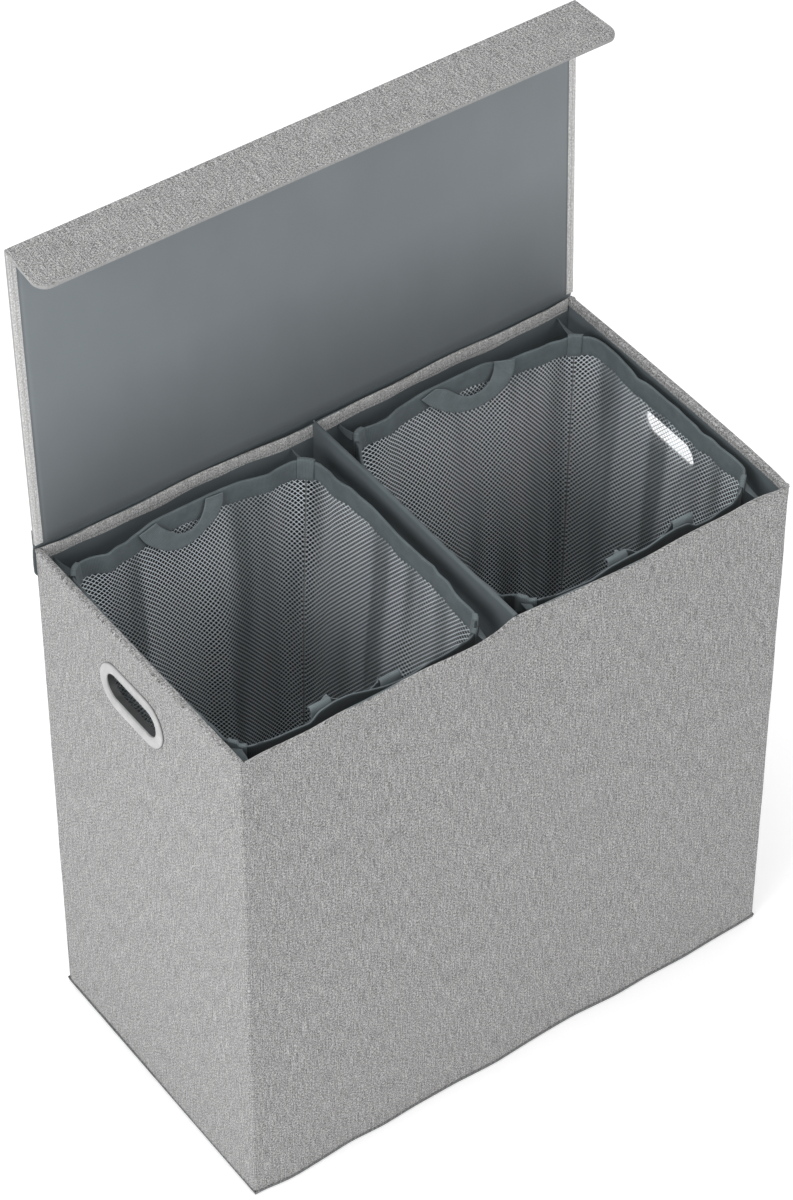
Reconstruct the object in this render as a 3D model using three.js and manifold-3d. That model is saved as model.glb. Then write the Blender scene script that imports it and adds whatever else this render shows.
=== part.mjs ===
// Fabric laundry hamper with two hanging mesh bags, millimetres, +Z up, front at -Y.
// The origin is the middle of the face that the hamper stands on.
import * as THREE from 'three';
import { mergeVertices } from 'three/addons/utils/BufferGeometryUtils.js';
import Module from 'manifold-3d';

const wasm = await Module();
wasm.setup();

// Body
const bodyWidth = 624;
const bodyDepth = 340;
const bodyHeight = 610;
const gap = 0.3;
const overrun = 5;

// Layers of the body
const wallCloth = 1;
const wallBoard = 3;
const wallLining = 0.8;
const hemDepth = 14;
const baseCloth = 1;
const baseBoard = 3;
const baseCover = 0.8;
const dividerBoard = 3;
const dividerCover = 0.8;

// Grips in the side walls
const gripLength = 106;
const gripHeight = 57;
const gripHoleLength = 76;
const gripHoleHeight = 24;
const gripBarrelWall = 1.6;
const gripFlange = 3;
const gripBevel = 1.4;
const gripBacking = 2;
const gripBelowRim = 73;
const gripBehindMiddle = 8;

// Lid
const lidOpenAngle = THREE.MathUtils.degToRad(91.7);
const lidCloth = 0.7;
const lidBoard = 2;
const lidLining = 0.6;
const lidBorder = 6.5;
const lipLength = 58;
const lipRadius = 14;
const lipLean = THREE.MathUtils.degToRad(2.5);
const lipClearance = 0.6;
const flapCloth = 0.8;
const flapBelowRim = 37;
const hingeClearance = 0.3;
const flapAboveHinge = 0.8;

// Bags
const bagOuterSpace = 6;
const bagInnerSpace = 20.4;
const bagEndSpace = 25.6;
const bagFloorSpace = 15;
const bagRimBelow = 10;
const bagRadius = 44;
const bagTaperX = 0.036;
const bagTaperY = 0.025;
const netThickness = 1;
const bottomThickness = 1;
const tapeThickness = 0.8;
const bindingHeight = 25;

// Corner tabs and straps
const tabWidth = 16;
const tabThickness = 0.8;
const tabDrop = 24;
const strapWidth = 14;
const strapSewnWidth = 5;
const strapThickness = 0.8;
const strapBelowRim = 3;
const strapFlare = 8;

// Handles
const handleSpan = 102;
const handleBand = 24;
const handleThickness = 1.5;
const handleFoot = 20;
const handleDroop = 23;
const handleSag = 8;
const handleTilt = THREE.MathUtils.degToRad(35);

// Counts of steps on round stretches
const cornerSteps = 3;
const arcSteps = 10;
const bevelSteps = 2;

// Places worked out from the sizes above
const halfWidth = bodyWidth / 2;
const halfDepth = bodyDepth / 2;
const wallBottom = baseCloth + gap;
const innerTop = bodyHeight - wallCloth - gap;
const boardFace = wallCloth + gap;
const sideLiningFace = boardFace + wallBoard + gap;
const sideInner = sideLiningFace + wallLining;
const sideHemFace = sideInner + gap;
const sideHemInner = sideHemFace + wallCloth;
const endLiningFace = wallCloth + gap;
const endInner = endLiningFace + wallLining;
const endHemFace = endInner + gap;
const endHemInner = endHemFace + wallCloth;
const sideReach = halfDepth - endInner - gap;
const foldReach = halfWidth - sideHemInner - gap;
const dividerHalf = dividerBoard / 2 + gap + dividerCover;
const lidThickness = lidCloth + gap + lidBoard + gap + lidCloth;
const hingeY = halfDepth + gap + flapCloth + hingeClearance;
const hingeZ = bodyHeight + gap + lidThickness;
const lidStart = hingeY - halfDepth;
const lidReach = hingeY + halfDepth + lipClearance + lidThickness + lipLength * Math.sin(lipLean);
const creaseSpread = (1 + Math.sin(lipLean)) / Math.cos(lipLean);
const bagTop = bodyHeight - bagRimBelow;
const bagHeight = bagTop - bagFloorSpace;
const bagWidth = foldReach - bagOuterSpace - dividerHalf - bagInnerSpace;
const bagMiddle = dividerHalf + bagInnerSpace + bagWidth / 2;
const bagLength = 2 * (sideReach - bagEndSpace);
const bindingThickness = 2 * tapeThickness + 2 * gap + netThickness;
const netFace = tapeThickness + gap;
const stepAngle = Math.PI / 2 / cornerSteps;
const chordShare = Math.cos(stepAngle / 2);

// Materials
const paint = (color, roughness) => () => new THREE.MeshStandardMaterial({ color, roughness, metalness: 0 });
const linen = paint(0xaaaaaa, 0.9);
const slate = paint(0x5d686b, 0.7);
const board = paint(0x8a7a66, 0.85);
const plastic = paint(0xe2e2e0, 0.35);
const netting = paint(0xd6d8d8, 0.6);
const tape = paint(0x66727a, 0.75);

// A closed geometry as a solid that can be joined and cut.
function solidOf(geometry) {
  const bare = geometry.clone();
  bare.deleteAttribute('normal');
  bare.deleteAttribute('uv');
  const merged = mergeVertices(bare);
  const vertProperties = new Float32Array(merged.attributes.position.array);
  const triVerts = new Uint32Array(merged.index.array);
  return new wasm.Manifold(new wasm.Mesh({ numProp: 3, vertProperties, triVerts }));
}

// A solid as a named mesh in a group.
function addMesh(group, name, solid, material) {
  const { vertProperties, triVerts, numProp } = solid.getMesh();
  const geometry = new THREE.BufferGeometry();
  geometry.setAttribute('position', new THREE.BufferAttribute(new Float32Array(vertProperties), numProp));
  geometry.setIndex(new THREE.BufferAttribute(new Uint32Array(triVerts), 1));
  geometry.computeVertexNormals();
  const mesh = new THREE.Mesh(geometry, material());
  mesh.name = name;
  group.add(mesh);
}

// A block between two opposite corners, given in any order.
function block(a, b) {
  const size = a.map((value, i) => Math.abs(b[i] - value));
  const middle = a.map((value, i) => (b[i] + value) / 2);
  const geometry = new THREE.BoxGeometry(...size);
  geometry.translate(...middle);
  return solidOf(geometry);
}

// A flat outline pushed out by a depth, its x, y and push axes laid along the given directions.
function plate(shape, depth, axes, origin, options = {}) {
  const settings = { depth, bevelEnabled: false, curveSegments: arcSteps, ...options };
  const geometry = new THREE.ExtrudeGeometry(shape, settings);
  geometry.applyMatrix4(new THREE.Matrix4().makeBasis(...axes).setPosition(...origin));
  return solidOf(geometry);
}

function polygon(points) {
  return new THREE.Shape(points.map(([x, y]) => new THREE.Vector2(x, y)));
}

// Loops of as many points each, joined in a row; capped at both ends, or closed on itself.
function loft(loops, closed) {
  const count = loops[0].length;
  const faces = [];
  const rows = closed ? loops.length : loops.length - 1;
  for (let row = 0; row < rows; row += 1) {
    const here = row * count;
    const next = ((row + 1) % loops.length) * count;
    for (let i = 0; i < count; i += 1) {
      const j = (i + 1) % count;
      faces.push([here + i, here + j, next + j], [here + i, next + j, next + i]);
    }
  }
  if (!closed) {
    const last = (loops.length - 1) * count;
    for (let i = 1; i < count - 1; i += 1) {
      faces.push([0, i + 1, i], [last, last + i, last + i + 1]);
    }
  }
  const points = loops.flat();
  const volume = faces.reduce((sum, [a, b, c]) => {
    return sum + points[a].dot(new THREE.Vector3().crossVectors(points[b], points[c]));
  }, 0);
  const outward = volume > 0 ? faces : faces.map(([a, b, c]) => [a, c, b]);
  const geometry = new THREE.BufferGeometry().setFromPoints(points);
  geometry.setIndex(outward.flat());
  return solidOf(geometry);
}

function shifted(solid, x, y, z) {
  return solid.translate([x, y, z]);
}

// Directions that lay an outline drawn in y and z across the hamper, pushed along +X.
const sideways = [new THREE.Vector3(0, 1, 0), new THREE.Vector3(0, 0, 1), new THREE.Vector3(1, 0, 0)];

// Directions that stand an outline drawn in x and z up, pushed along -Y.
const upright = [new THREE.Vector3(1, 0, 0), new THREE.Vector3(0, 0, 1), new THREE.Vector3(0, -1, 0)];

// An outline with straight sides and half round ends.
function stadium(length, height) {
  const reach = (length - height) / 2;
  const shape = new THREE.Shape();
  shape.absarc(reach, 0, height / 2, -Math.PI / 2, Math.PI / 2);
  shape.absarc(-reach, 0, height / 2, Math.PI / 2, (3 * Math.PI) / 2);
  return shape;
}

// A stadium plate between two distances from the middle, on the left (-1) or right (1) wall.
function gripPlate(side, length, height, near, far, options) {
  const origin = [Math.min(side * near, side * far), gripBehindMiddle, bodyHeight - gripBelowRim];
  return plate(stadium(length, height), far - near, sideways, origin, options);
}

// Hole for the grip barrel, right through a side wall.
function gripHole(side) {
  const spare = 2 * (gripBarrelWall + gap);
  const near = halfWidth - sideHemInner - overrun;
  return gripPlate(side, gripHoleLength + spare, gripHoleHeight + spare, near, halfWidth + overrun);
}

function addSideWall(group, side, name) {
  const outer = side * halfWidth;
  const hole = gripHole(side);
  const skin = block([outer, -halfDepth, wallBottom], [outer - side * wallCloth, halfDepth, bodyHeight]);
  const foldInner = side * (halfWidth - sideHemInner);
  const fold = block([outer, -halfDepth, bodyHeight - wallCloth], [foldInner, halfDepth, bodyHeight]);
  const hemOuter = side * (halfWidth - sideHemFace);
  const hem = block([hemOuter, -sideReach, bodyHeight - hemDepth], [foldInner, sideReach, bodyHeight]);
  addMesh(group, `${name}_wall_cloth`, skin.add(fold).add(hem).subtract(hole), linen);

  const boardReach = halfDepth - wallCloth - gap;
  const stiffener = block(
    [side * (halfWidth - boardFace), -boardReach, wallBottom],
    [side * (halfWidth - boardFace - wallBoard), boardReach, innerTop],
  );
  addMesh(group, `${name}_wall_board`, stiffener.subtract(hole), board);

  const lining = block(
    [side * (halfWidth - sideLiningFace), -sideReach, wallBottom],
    [side * (halfWidth - sideInner), sideReach, innerTop],
  );
  addMesh(group, `${name}_wall_lining`, lining.subtract(hole), slate);
}

function addEndWall(group, side, name) {
  const outer = side * halfDepth;
  const skinInner = outer - side * wallCloth;
  const skinReach = halfWidth - boardFace;
  const skin = block([-skinReach, outer, wallBottom], [skinReach, skinInner, innerTop]);
  const riser = block([-foldReach, outer, wallBottom], [foldReach, skinInner, bodyHeight]);
  const foldInner = side * (halfDepth - endHemInner);
  const fold = block([-foldReach, outer, bodyHeight - wallCloth], [foldReach, foldInner, bodyHeight]);
  const hemOuter = side * (halfDepth - endHemFace);
  const hem = block([-foldReach, hemOuter, bodyHeight - hemDepth], [foldReach, foldInner, bodyHeight]);
  addMesh(group, `${name}_wall_cloth`, skin.add(riser).add(fold).add(hem), linen);

  const liningReach = halfWidth - sideLiningFace;
  const lining = block(
    [-liningReach, side * (halfDepth - endLiningFace), wallBottom],
    [liningReach, side * (halfDepth - endInner), innerTop],
  );
  addMesh(group, `${name}_wall_lining`, lining, slate);
}

function addBase(group) {
  const sheet = block([-halfWidth, -halfDepth, 0], [halfWidth, halfDepth, baseCloth]);
  addMesh(group, 'base_cloth', sheet, linen);
  const near = dividerHalf + gap;
  const far = halfWidth - sideInner - gap;
  const boardTop = wallBottom + baseBoard;
  const coverBottom = boardTop + gap;
  for (const [side, name] of [[-1, 'left'], [1, 'right']]) {
    const panel = block([side * near, -sideReach, wallBottom], [side * far, sideReach, boardTop]);
    addMesh(group, `${name}_base_board`, panel, board);
    const cover = block(
      [side * near, -sideReach, coverBottom],
      [side * far, sideReach, coverBottom + baseCover],
    );
    addMesh(group, `${name}_base_cover`, cover, slate);
  }
}

// An upright slab with a half round top edge, as seen from the front.
function roundedSlab(half, bottom, top) {
  const shape = new THREE.Shape();
  shape.moveTo(-half, bottom);
  shape.lineTo(half, bottom);
  shape.absarc(0, top - half, half, 0, Math.PI);
  return shape;
}

function addDivider(group) {
  const spare = dividerCover + gap;
  const front = [0, sideReach, 0];
  const cover = plate(roundedSlab(dividerHalf, wallBottom, bodyHeight), 2 * sideReach, upright, front);
  const hollowTop = bodyHeight - dividerCover;
  const hollowShape = roundedSlab(dividerHalf - dividerCover, wallBottom - overrun, hollowTop);
  const hollow = plate(hollowShape, 2 * (sideReach + overrun), upright, [0, sideReach + overrun, 0]);
  const panelShape = roundedSlab(dividerBoard / 2, wallBottom, bodyHeight - spare);
  const panel = plate(panelShape, 2 * sideReach, upright, front);
  let notches = null;
  for (const side of [-1, 1]) {
    const notch = block(
      [-dividerHalf - overrun, side * (halfDepth - endHemInner - gap), bodyHeight - hemDepth - gap],
      [dividerHalf + overrun, side * (sideReach + overrun), bodyHeight + overrun],
    );
    notches = notches ? notches.add(notch) : notch;
  }
  addMesh(group, 'divider_cover', cover.subtract(hollow).subtract(notches), slate);
  addMesh(group, 'divider_board', panel.subtract(notches), board);
}

function addGrip(group, side, name) {
  const barrelLength = gripHoleLength + 2 * gripBarrelWall;
  const barrelHeight = gripHoleHeight + 2 * gripBarrelWall;
  const seat = halfWidth + gap;
  const backing = halfWidth - sideInner - gap;
  const back = backing - gripBacking;
  const bevel = {
    bevelEnabled: true,
    bevelThickness: gripBevel,
    bevelSize: gripBevel,
    bevelSegments: bevelSteps,
  };
  const rim = gripPlate(
    side,
    gripLength - 2 * gripBevel,
    gripHeight - 2 * gripBevel,
    seat + gripBevel,
    seat + gripFlange - gripBevel,
    bevel,
  );
  const barrel = gripPlate(side, barrelLength, barrelHeight, back, seat + gripBevel);
  const hole = gripPlate(side, gripHoleLength, gripHoleHeight, back - overrun, seat + gripFlange + overrun);
  addMesh(group, `${name}_grip_ring`, rim.add(barrel).subtract(hole), plastic);

  const washer = gripPlate(side, gripLength - 2 * gripBevel, gripHeight - 2 * gripBevel, back, backing);
  const seatLength = barrelLength + 2 * gap;
  const seatHeight = barrelHeight + 2 * gap;
  const seatHole = gripPlate(side, seatLength, seatHeight, back - overrun, backing + overrun);
  addMesh(group, `${name}_grip_backing`, washer.subtract(seatHole), plastic);
}

function addHingeFlap(group) {
  const sheet = block(
    [-halfWidth, halfDepth + gap, bodyHeight - flapBelowRim],
    [halfWidth, halfDepth + gap + flapCloth, hingeZ + flapAboveHinge],
  );
  addMesh(group, 'hinge_flap', sheet, linen);
}

// A point of the lip, a distance short of its free end and a depth under its outer face.
function lipPoint(endTrim, depth) {
  const along = lipLength - endTrim;
  return [
    lidReach - along * Math.sin(lipLean) - depth * Math.cos(lipLean),
    -along * Math.cos(lipLean) + depth * Math.sin(lipLean),
  ];
}

const acrossLid = [new THREE.Vector3(0, -1, 0), new THREE.Vector3(0, 0, 1), new THREE.Vector3(-1, 0, 0)];
const lipAxes = [
  new THREE.Vector3(1, 0, 0),
  new THREE.Vector3(0, Math.sin(lipLean), -Math.cos(lipLean)),
  new THREE.Vector3(0, Math.cos(lipLean), Math.sin(lipLean)),
];

// Rounds off the two free corners of a layer of the lip.
function lipCorners(trim) {
  const radius = lipRadius - trim;
  const reach = halfWidth - trim;
  const end = lipLength - trim;
  const shape = new THREE.Shape();
  shape.moveTo(reach - radius, end + overrun);
  shape.lineTo(reach - radius, end);
  shape.absarc(reach - radius, end - radius, radius, Math.PI / 2, 0, true);
  shape.lineTo(reach + overrun, end - radius);
  shape.lineTo(reach + overrun, end + overrun);
  const depth = lidThickness + 2 * overrun;
  const normal = lipAxes[2].clone().multiplyScalar(-overrun);
  const right = plate(shape, depth, lipAxes, [0, normal.y - lidReach, normal.z]);
  return right.add(right.mirror([1, 0, 0]));
}

// A length of the lid across its whole width, from an outline in distance from the hinge and height.
function lidSlab(points, sideTrim) {
  const reach = halfWidth - sideTrim;
  return plate(polygon(points), 2 * reach, acrossLid, [reach, 0, 0]);
}

// One layer of the lid and its lip, bent at the crease, between two depths under the outer face.
function lidLayer(from, to, trim) {
  const start = lidStart + trim;
  const outline = [
    [start, -from],
    [lidReach - from * creaseSpread, -from],
    lipPoint(trim, from),
    lipPoint(trim, to),
    [lidReach - to * creaseSpread, -to],
    [start, -to],
  ];
  return lidSlab(outline, trim).subtract(lipCorners(trim));
}

function addLid(group) {
  const skin = lidLayer(0, lidThickness, 0);
  const cavity = lidLayer(lidCloth, lidThickness - lidCloth, lidCloth);
  const opening = lidLayer(lidThickness / 2, lidThickness + overrun, lidBorder);
  addMesh(group, 'lid_cloth', skin.subtract(cavity).subtract(opening), linen);

  const top = lidCloth + gap;
  const bottom = top + lidBoard;
  const crease = lidThickness * creaseSpread + gap;
  const start = lidStart + top;
  const end = lidReach - crease;
  const panel = lidSlab([[start, -top], [end, -top], [end, -bottom], [start, -bottom]], top);
  addMesh(group, 'lid_board', panel, board);
  const creaseTrim = lipLength - crease;
  const lipOutline = [
    lipPoint(top, top),
    lipPoint(creaseTrim, top),
    lipPoint(creaseTrim, bottom),
    lipPoint(top, bottom),
  ];
  addMesh(group, 'lip_board', lidSlab(lipOutline, top).subtract(lipCorners(top)), board);

  const liningFace = bottom + gap;
  const lining = lidLayer(liningFace, liningFace + lidLining, lidBorder + gap);
  addMesh(group, 'lid_lining', lining, slate);
}

// The bag's outline, seen from above, at a depth below its rim and set in from its outer face.
function bagLoop(down, inset) {
  const reachX = bagWidth / 2 - bagTaperX * down - bagRadius;
  const reachY = bagLength / 2 - bagTaperY * down - bagRadius;
  const radius = bagRadius - inset;
  const loop = [];
  for (const [turn, x, y] of [[0, 1, 1], [1, -1, 1], [2, -1, -1], [3, 1, -1]]) {
    for (let step = 0; step <= cornerSteps; step += 1) {
      const angle = (turn * Math.PI) / 2 + step * stepAngle;
      loop.push(new THREE.Vector3(
        x * reachX + radius * Math.cos(angle),
        y * reachY + radius * Math.sin(angle),
        bagTop - down,
      ));
    }
  }
  return loop;
}

function bagNet() {
  const top = tapeThickness + gap;
  const bottom = bagHeight - bottomThickness - gap;
  const inner = netFace + netThickness;
  const profile = [[top, netFace], [bottom, netFace], [bottom, inner], [top, inner]];
  return loft(profile.map(([down, inset]) => bagLoop(down, inset)), true);
}

function bagBottom() {
  return loft([bagLoop(bagHeight - bottomThickness, netFace), bagLoop(bagHeight, netFace)], false);
}

// Tape folded over the top of the net.
function bagBinding() {
  const inner = bindingThickness - tapeThickness;
  const profile = [
    [bindingHeight, 0],
    [0, 0],
    [0, bindingThickness],
    [bindingHeight, bindingThickness],
    [bindingHeight, inner],
    [tapeThickness, inner],
    [tapeThickness, tapeThickness],
    [bindingHeight, tapeThickness],
  ];
  return loft(profile.map(([down, inset]) => bagLoop(down, inset)), true);
}

const diagonal = Math.SQRT1_2;
const cornerSlope = (bagTaperX + bagTaperY) * diagonal;

// Middle of the bag's corner facet at the rim, for the corner at +X and +Y.
function cornerPoint() {
  const reach = bagRadius * chordShare * diagonal;
  return [bagWidth / 2 - bagRadius + reach, bagLength / 2 - bagRadius + reach];
}

// Tape folded over the binding at one corner, its leaves along the bag's slope.
function cornerTab(sideX, sideY) {
  const near = gap;
  const far = gap + tabThickness;
  const inner = -bindingThickness * chordShare - gap;
  const slide = (across, down) => [across - cornerSlope * Math.max(down, 0), -down];
  const outline = polygon([
    slide(far, tabDrop),
    slide(far, -far),
    slide(inner - tabThickness, -far),
    slide(inner - tabThickness, tabDrop),
    slide(inner, tabDrop),
    slide(inner, -near),
    slide(near, -near),
    slide(near, tabDrop),
  ]);
  const outwards = new THREE.Vector3(sideX, sideY, 0).normalize();
  const up = new THREE.Vector3(0, 0, 1);
  const along = new THREE.Vector3().crossVectors(outwards, up);
  const [x, y] = cornerPoint();
  const origin = new THREE.Vector3(sideX * x, sideY * y, bagTop).addScaledVector(along, -tabWidth / 2);
  return plate(outline, tabWidth, [outwards, up, along], origin.toArray());
}

// Ribbon from a corner tab to the wall under the hem, drawn together where it is sewn to the wall.
function cornerStrap(sideX, sideY) {
  const [x, y] = cornerPoint();
  const stand = (gap + tabThickness + gap - cornerSlope * strapBelowRim) * diagonal;
  const start = new THREE.Vector3(x + stand, y + stand, bagTop - strapBelowRim);
  const end = new THREE.Vector3(x + strapFlare, sideReach, bodyHeight - hemDepth - gap - strapWidth / 2);
  const across = new THREE.Vector3(-diagonal, diagonal, 0);
  const reach = end.clone().sub(start);
  const slide = reach.dot(across);
  const along = reach.clone().addScaledVector(across, -slide);
  const length = along.length();
  along.normalize();
  const up = new THREE.Vector3().crossVectors(across, along);
  const past = (length + overrun) / length;
  const near = strapWidth / 2;
  const far = strapSewnWidth / 2;
  const outline = polygon([
    [-near, 0],
    [near, 0],
    [slide * past + far, length * past],
    [slide * past - far, length * past],
  ]);
  const origin = start.clone().addScaledVector(up, -strapThickness / 2);
  const ribbon = plate(outline, strapThickness, [across, along, up], origin.toArray());
  const wall = block([0, sideReach, 0], [bagWidth, bodyDepth, bodyHeight]);
  const strap = ribbon.subtract(wall);
  const turned = sideX > 0 ? strap : strap.mirror([1, 0, 0]);
  return sideY > 0 ? turned : turned.mirror([0, 1, 0]);
}

// Webbing loop sewn inside the binding, its middle hanging away from the net.
function bagHandle(side) {
  const half = handleSpan / 2;
  const inner = half - handleBand;
  const front = new THREE.Shape();
  front.moveTo(-half, overrun);
  front.lineTo(-half, -handleFoot);
  front.absellipse(0, -handleFoot, half, handleDroop, Math.PI, 2 * Math.PI);
  front.lineTo(half, overrun);
  front.lineTo(inner, overrun);
  front.lineTo(inner, -handleFoot);
  front.absellipse(0, -handleFoot, inner, handleSag, 0, -Math.PI, true);
  front.lineTo(-inner, overrun);

  const slope = bagTaperY * handleFoot;
  const fall = handleDroop + overrun;
  const out = slope + fall * Math.tan(handleTilt);
  const thickOut = handleThickness / Math.cos(handleTilt);
  const bend = handleThickness * Math.tan(handleTilt / 2);
  const profile = polygon([
    [0, 0],
    [-slope, -handleFoot],
    [-out, -handleFoot - fall],
    [-out - thickOut, -handleFoot - fall],
    [-slope - handleThickness, -handleFoot + bend],
    [-handleThickness, 0],
  ]);
  const face = bagLength / 2 - bindingThickness - gap;
  const strip = plate(profile, handleSpan + 2 * overrun, sideways, [-half - overrun, face, bagTop]);
  const mask = plate(front, 2 * face, upright, [0, 2 * face, bagTop]);
  const handle = strip.intersect(mask);
  return side > 0 ? handle : handle.mirror([0, 1, 0]);
}

const corners = [
  ['back_left', -1, 1],
  ['back_right', 1, 1],
  ['front_left', -1, -1],
  ['front_right', 1, -1],
];

function addBag(group, side, name) {
  const middle = side * bagMiddle;
  const place = (solid) => shifted(solid, middle, 0, 0);
  addMesh(group, `${name}_bag_net`, place(bagNet()), netting);
  addMesh(group, `${name}_bag_bottom`, place(bagBottom()), netting);
  addMesh(group, `${name}_bag_binding`, place(bagBinding()), tape);
  addMesh(group, `${name}_bag_back_handle`, place(bagHandle(1)), tape);
  addMesh(group, `${name}_bag_front_handle`, place(bagHandle(-1)), tape);
  for (const [corner, x, y] of corners) {
    addMesh(group, `${name}_bag_${corner}_tab`, place(cornerTab(x, y)), tape);
  }
}

function addStraps(group, side, name) {
  for (const [corner, x, y] of corners) {
    addMesh(group, `${name}_${corner}_strap`, shifted(cornerStrap(x, y), side * bagMiddle, 0, 0), tape);
  }
}

const hamper = new THREE.Group();
addBase(hamper);
addEndWall(hamper, -1, 'front');
addEndWall(hamper, 1, 'back');
addDivider(hamper);
addHingeFlap(hamper);
for (const [side, name] of [[-1, 'left'], [1, 'right']]) {
  addSideWall(hamper, side, name);
  addGrip(hamper, side, name);
  addStraps(hamper, side, name);
  addBag(hamper, side, name);
}

const lid = new THREE.Group();
addLid(lid);
lid.position.set(0, hingeY, hingeZ);
lid.rotation.x = -lidOpenAngle;
hamper.add(lid);

export default hamper;
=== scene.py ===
import math

import bpy
import numpy as np
from mathutils import Matrix, Vector


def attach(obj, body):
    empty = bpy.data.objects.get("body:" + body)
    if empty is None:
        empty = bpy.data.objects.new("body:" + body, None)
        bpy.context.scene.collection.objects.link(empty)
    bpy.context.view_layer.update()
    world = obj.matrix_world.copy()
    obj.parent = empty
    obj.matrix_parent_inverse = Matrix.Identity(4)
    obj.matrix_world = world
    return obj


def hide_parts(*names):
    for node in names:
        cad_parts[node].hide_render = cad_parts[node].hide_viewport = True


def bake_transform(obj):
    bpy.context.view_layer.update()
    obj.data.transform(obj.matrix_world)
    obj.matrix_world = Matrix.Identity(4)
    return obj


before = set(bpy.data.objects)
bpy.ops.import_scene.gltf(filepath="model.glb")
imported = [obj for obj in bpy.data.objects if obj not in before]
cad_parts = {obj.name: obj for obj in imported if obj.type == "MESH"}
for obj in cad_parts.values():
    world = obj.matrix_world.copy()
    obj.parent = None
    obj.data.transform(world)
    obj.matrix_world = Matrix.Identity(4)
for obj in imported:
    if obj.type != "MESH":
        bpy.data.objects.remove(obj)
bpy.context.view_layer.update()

# Sizes in metres. The main ones of the walls, lid and bags are the solids' own.
half_width, half_depth, rim = 0.312, 0.170, 0.610
wall_foot, board_foot = 0.0013, 0.0059
hem_drop, side_hem_drop = 0.014, 0.0075
skin_middle, end_hem_middle, side_hem_middle = 0.0005, 0.0029, 0.0062
end_lining_middle, side_lining_middle = 0.0017, 0.0050
corner_round, fold_radius = 0.0015, 0.0012
end_reach, fold_reach, inner_reach = 0.3107, 0.3050, 0.1676
lining_rise = 0.6072
end_lining_size = (0.6144, 0.6069)
base_cover_size = (0.3030, 0.3344)
linen_thick, lining_thick, board_thick, tape_thick = 0.001, 0.0008, 0.0028, 0.0007

hinge_y, hinge_z = 0.1714, 0.6143
hinge_size = (0.6264, 0.059)
lid_open = math.radians(91.7)
lid_reach, lid_start, lid_thickness, lid_border = 0.34853, 0.0014, 0.0040, 0.0065
lip_length, lip_radius, lip_lean = 0.058, 0.014, math.radians(2.5)
lid_inner_depth = lid_thickness + 0.00005

grip_y, grip_z = 0.008, 0.5395
grip_hole = (0.0424, 0.0164)

bag_middle, bag_half_x, bag_half_y, bag_radius = 0.161, 0.138, 0.142, 0.044
bag_top, bag_drop, bag_taper_x, bag_taper_y = 0.600, 0.585, 0.036, 0.025
tape_drop, bottom_tape, tab_width = 0.0212, 0.0095, 0.015
strap_reach, strap_height, strap_wide, strap_gathered = 0.1330, 0.5900, 0.0105, 0.0040
net_pitch, net_wide_pitch, thread_width = 0.00353, 0.00415, 0.00084
net_slant, net_cross_slant = math.radians(129.6), math.radians(46)
net_top, net_foot, net_inset = 0.018, bag_drop - 0.001, 0.0016

row_gap = 0.0065
# Which way each wall faces, and its name.
ends = ((-1, "front"), (1, "back"))
sides = ((-1, "left"), (1, "right"))


# ---- general helpers ----

def activate(piece):
    bpy.ops.object.select_all(action="DESELECT")
    piece.select_set(True)
    bpy.context.view_layer.objects.active = piece


def settle(piece):
    activate(piece)
    bpy.ops.object.transform_apply(location=True, rotation=True, scale=True)


def added(name, adder, **settings):
    """A piece started from one of Blender's basic forms."""
    bpy.ops.object.select_all(action="DESELECT")
    adder(**settings)
    piece = bpy.context.object
    piece.name = name
    settle(piece)
    return piece


def corners_of(piece):
    places = np.empty(len(piece.data.vertices) * 3, np.float32)
    piece.data.vertices.foreach_get("co", places)
    return places.reshape(-1, 3).astype(float)


def put_corners(piece, places):
    piece.data.vertices.foreach_set("co", np.asarray(places, np.float32).ravel())
    piece.data.update()


def remap_cut(piece, change):
    """Changes the spots of the map of the flat cloth, which is in metres."""
    layer = piece.data.uv_layers[0]
    layer.name = "cut"
    spots = np.empty(len(layer.data) * 2, np.float32)
    layer.data.foreach_get("uv", spots)
    layer.data.foreach_set("uv", np.asarray(change(spots.reshape(-1, 2)), np.float32).ravel())


def eased(value, start, end):
    t = np.clip((value - start) / (end - start), 0, 1)
    return t * t * (3 - 2 * t)


def along_line(value, marks, reach=0.014):
    """A soft line, in metres, through marks of place and amount in millimetres."""
    places, amounts = np.transpose(marks) / 1000
    shifts = np.linspace(-reach, reach, 7)
    weights = 1 + np.cos(shifts / reach * math.pi)
    return sum(w * np.interp(value + s, places, amounts) for s, w in zip(shifts, weights)) / weights.sum()


def run_of(points):
    """How far along a line each of its points is."""
    return np.concatenate([[0], np.cumsum(np.linalg.norm(np.diff(points, axis=0), axis=1))])


def path_through(marks):
    """Points every few millimetres along straight runs between marks, and how far along they are."""
    points = [marks[0]]
    for mark in marks[1:]:
        last = points[-1]
        steps = max(1, round(math.dist(last, mark) / row_gap))
        points += [tuple(a + (b - a) * step / steps for a, b in zip(last, mark)) for step in range(1, steps + 1)]
    return np.array(points), run_of(points)


def turn_points(middle, radius, start, end, steps=4):
    angles = np.linspace(start, end, steps + 1)
    return [(middle[0] + radius * math.cos(a), middle[1] + radius * math.sin(a)) for a in angles]


def woven_grid(name, across, along, rule, size):
    """A grid shaped by rule(u, v), with its own map of the flat cloth."""
    piece = added(name, bpy.ops.mesh.primitive_grid_add,
                  x_subdivisions=across, y_subdivisions=along, size=1, location=(0.5, 0.5, 0))
    u, v, _ = corners_of(piece).T
    put_corners(piece, np.stack(np.broadcast_arrays(*rule(u, v)), 1))
    remap_cut(piece, lambda spots: spots * np.array(size, np.float32))
    return piece


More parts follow.
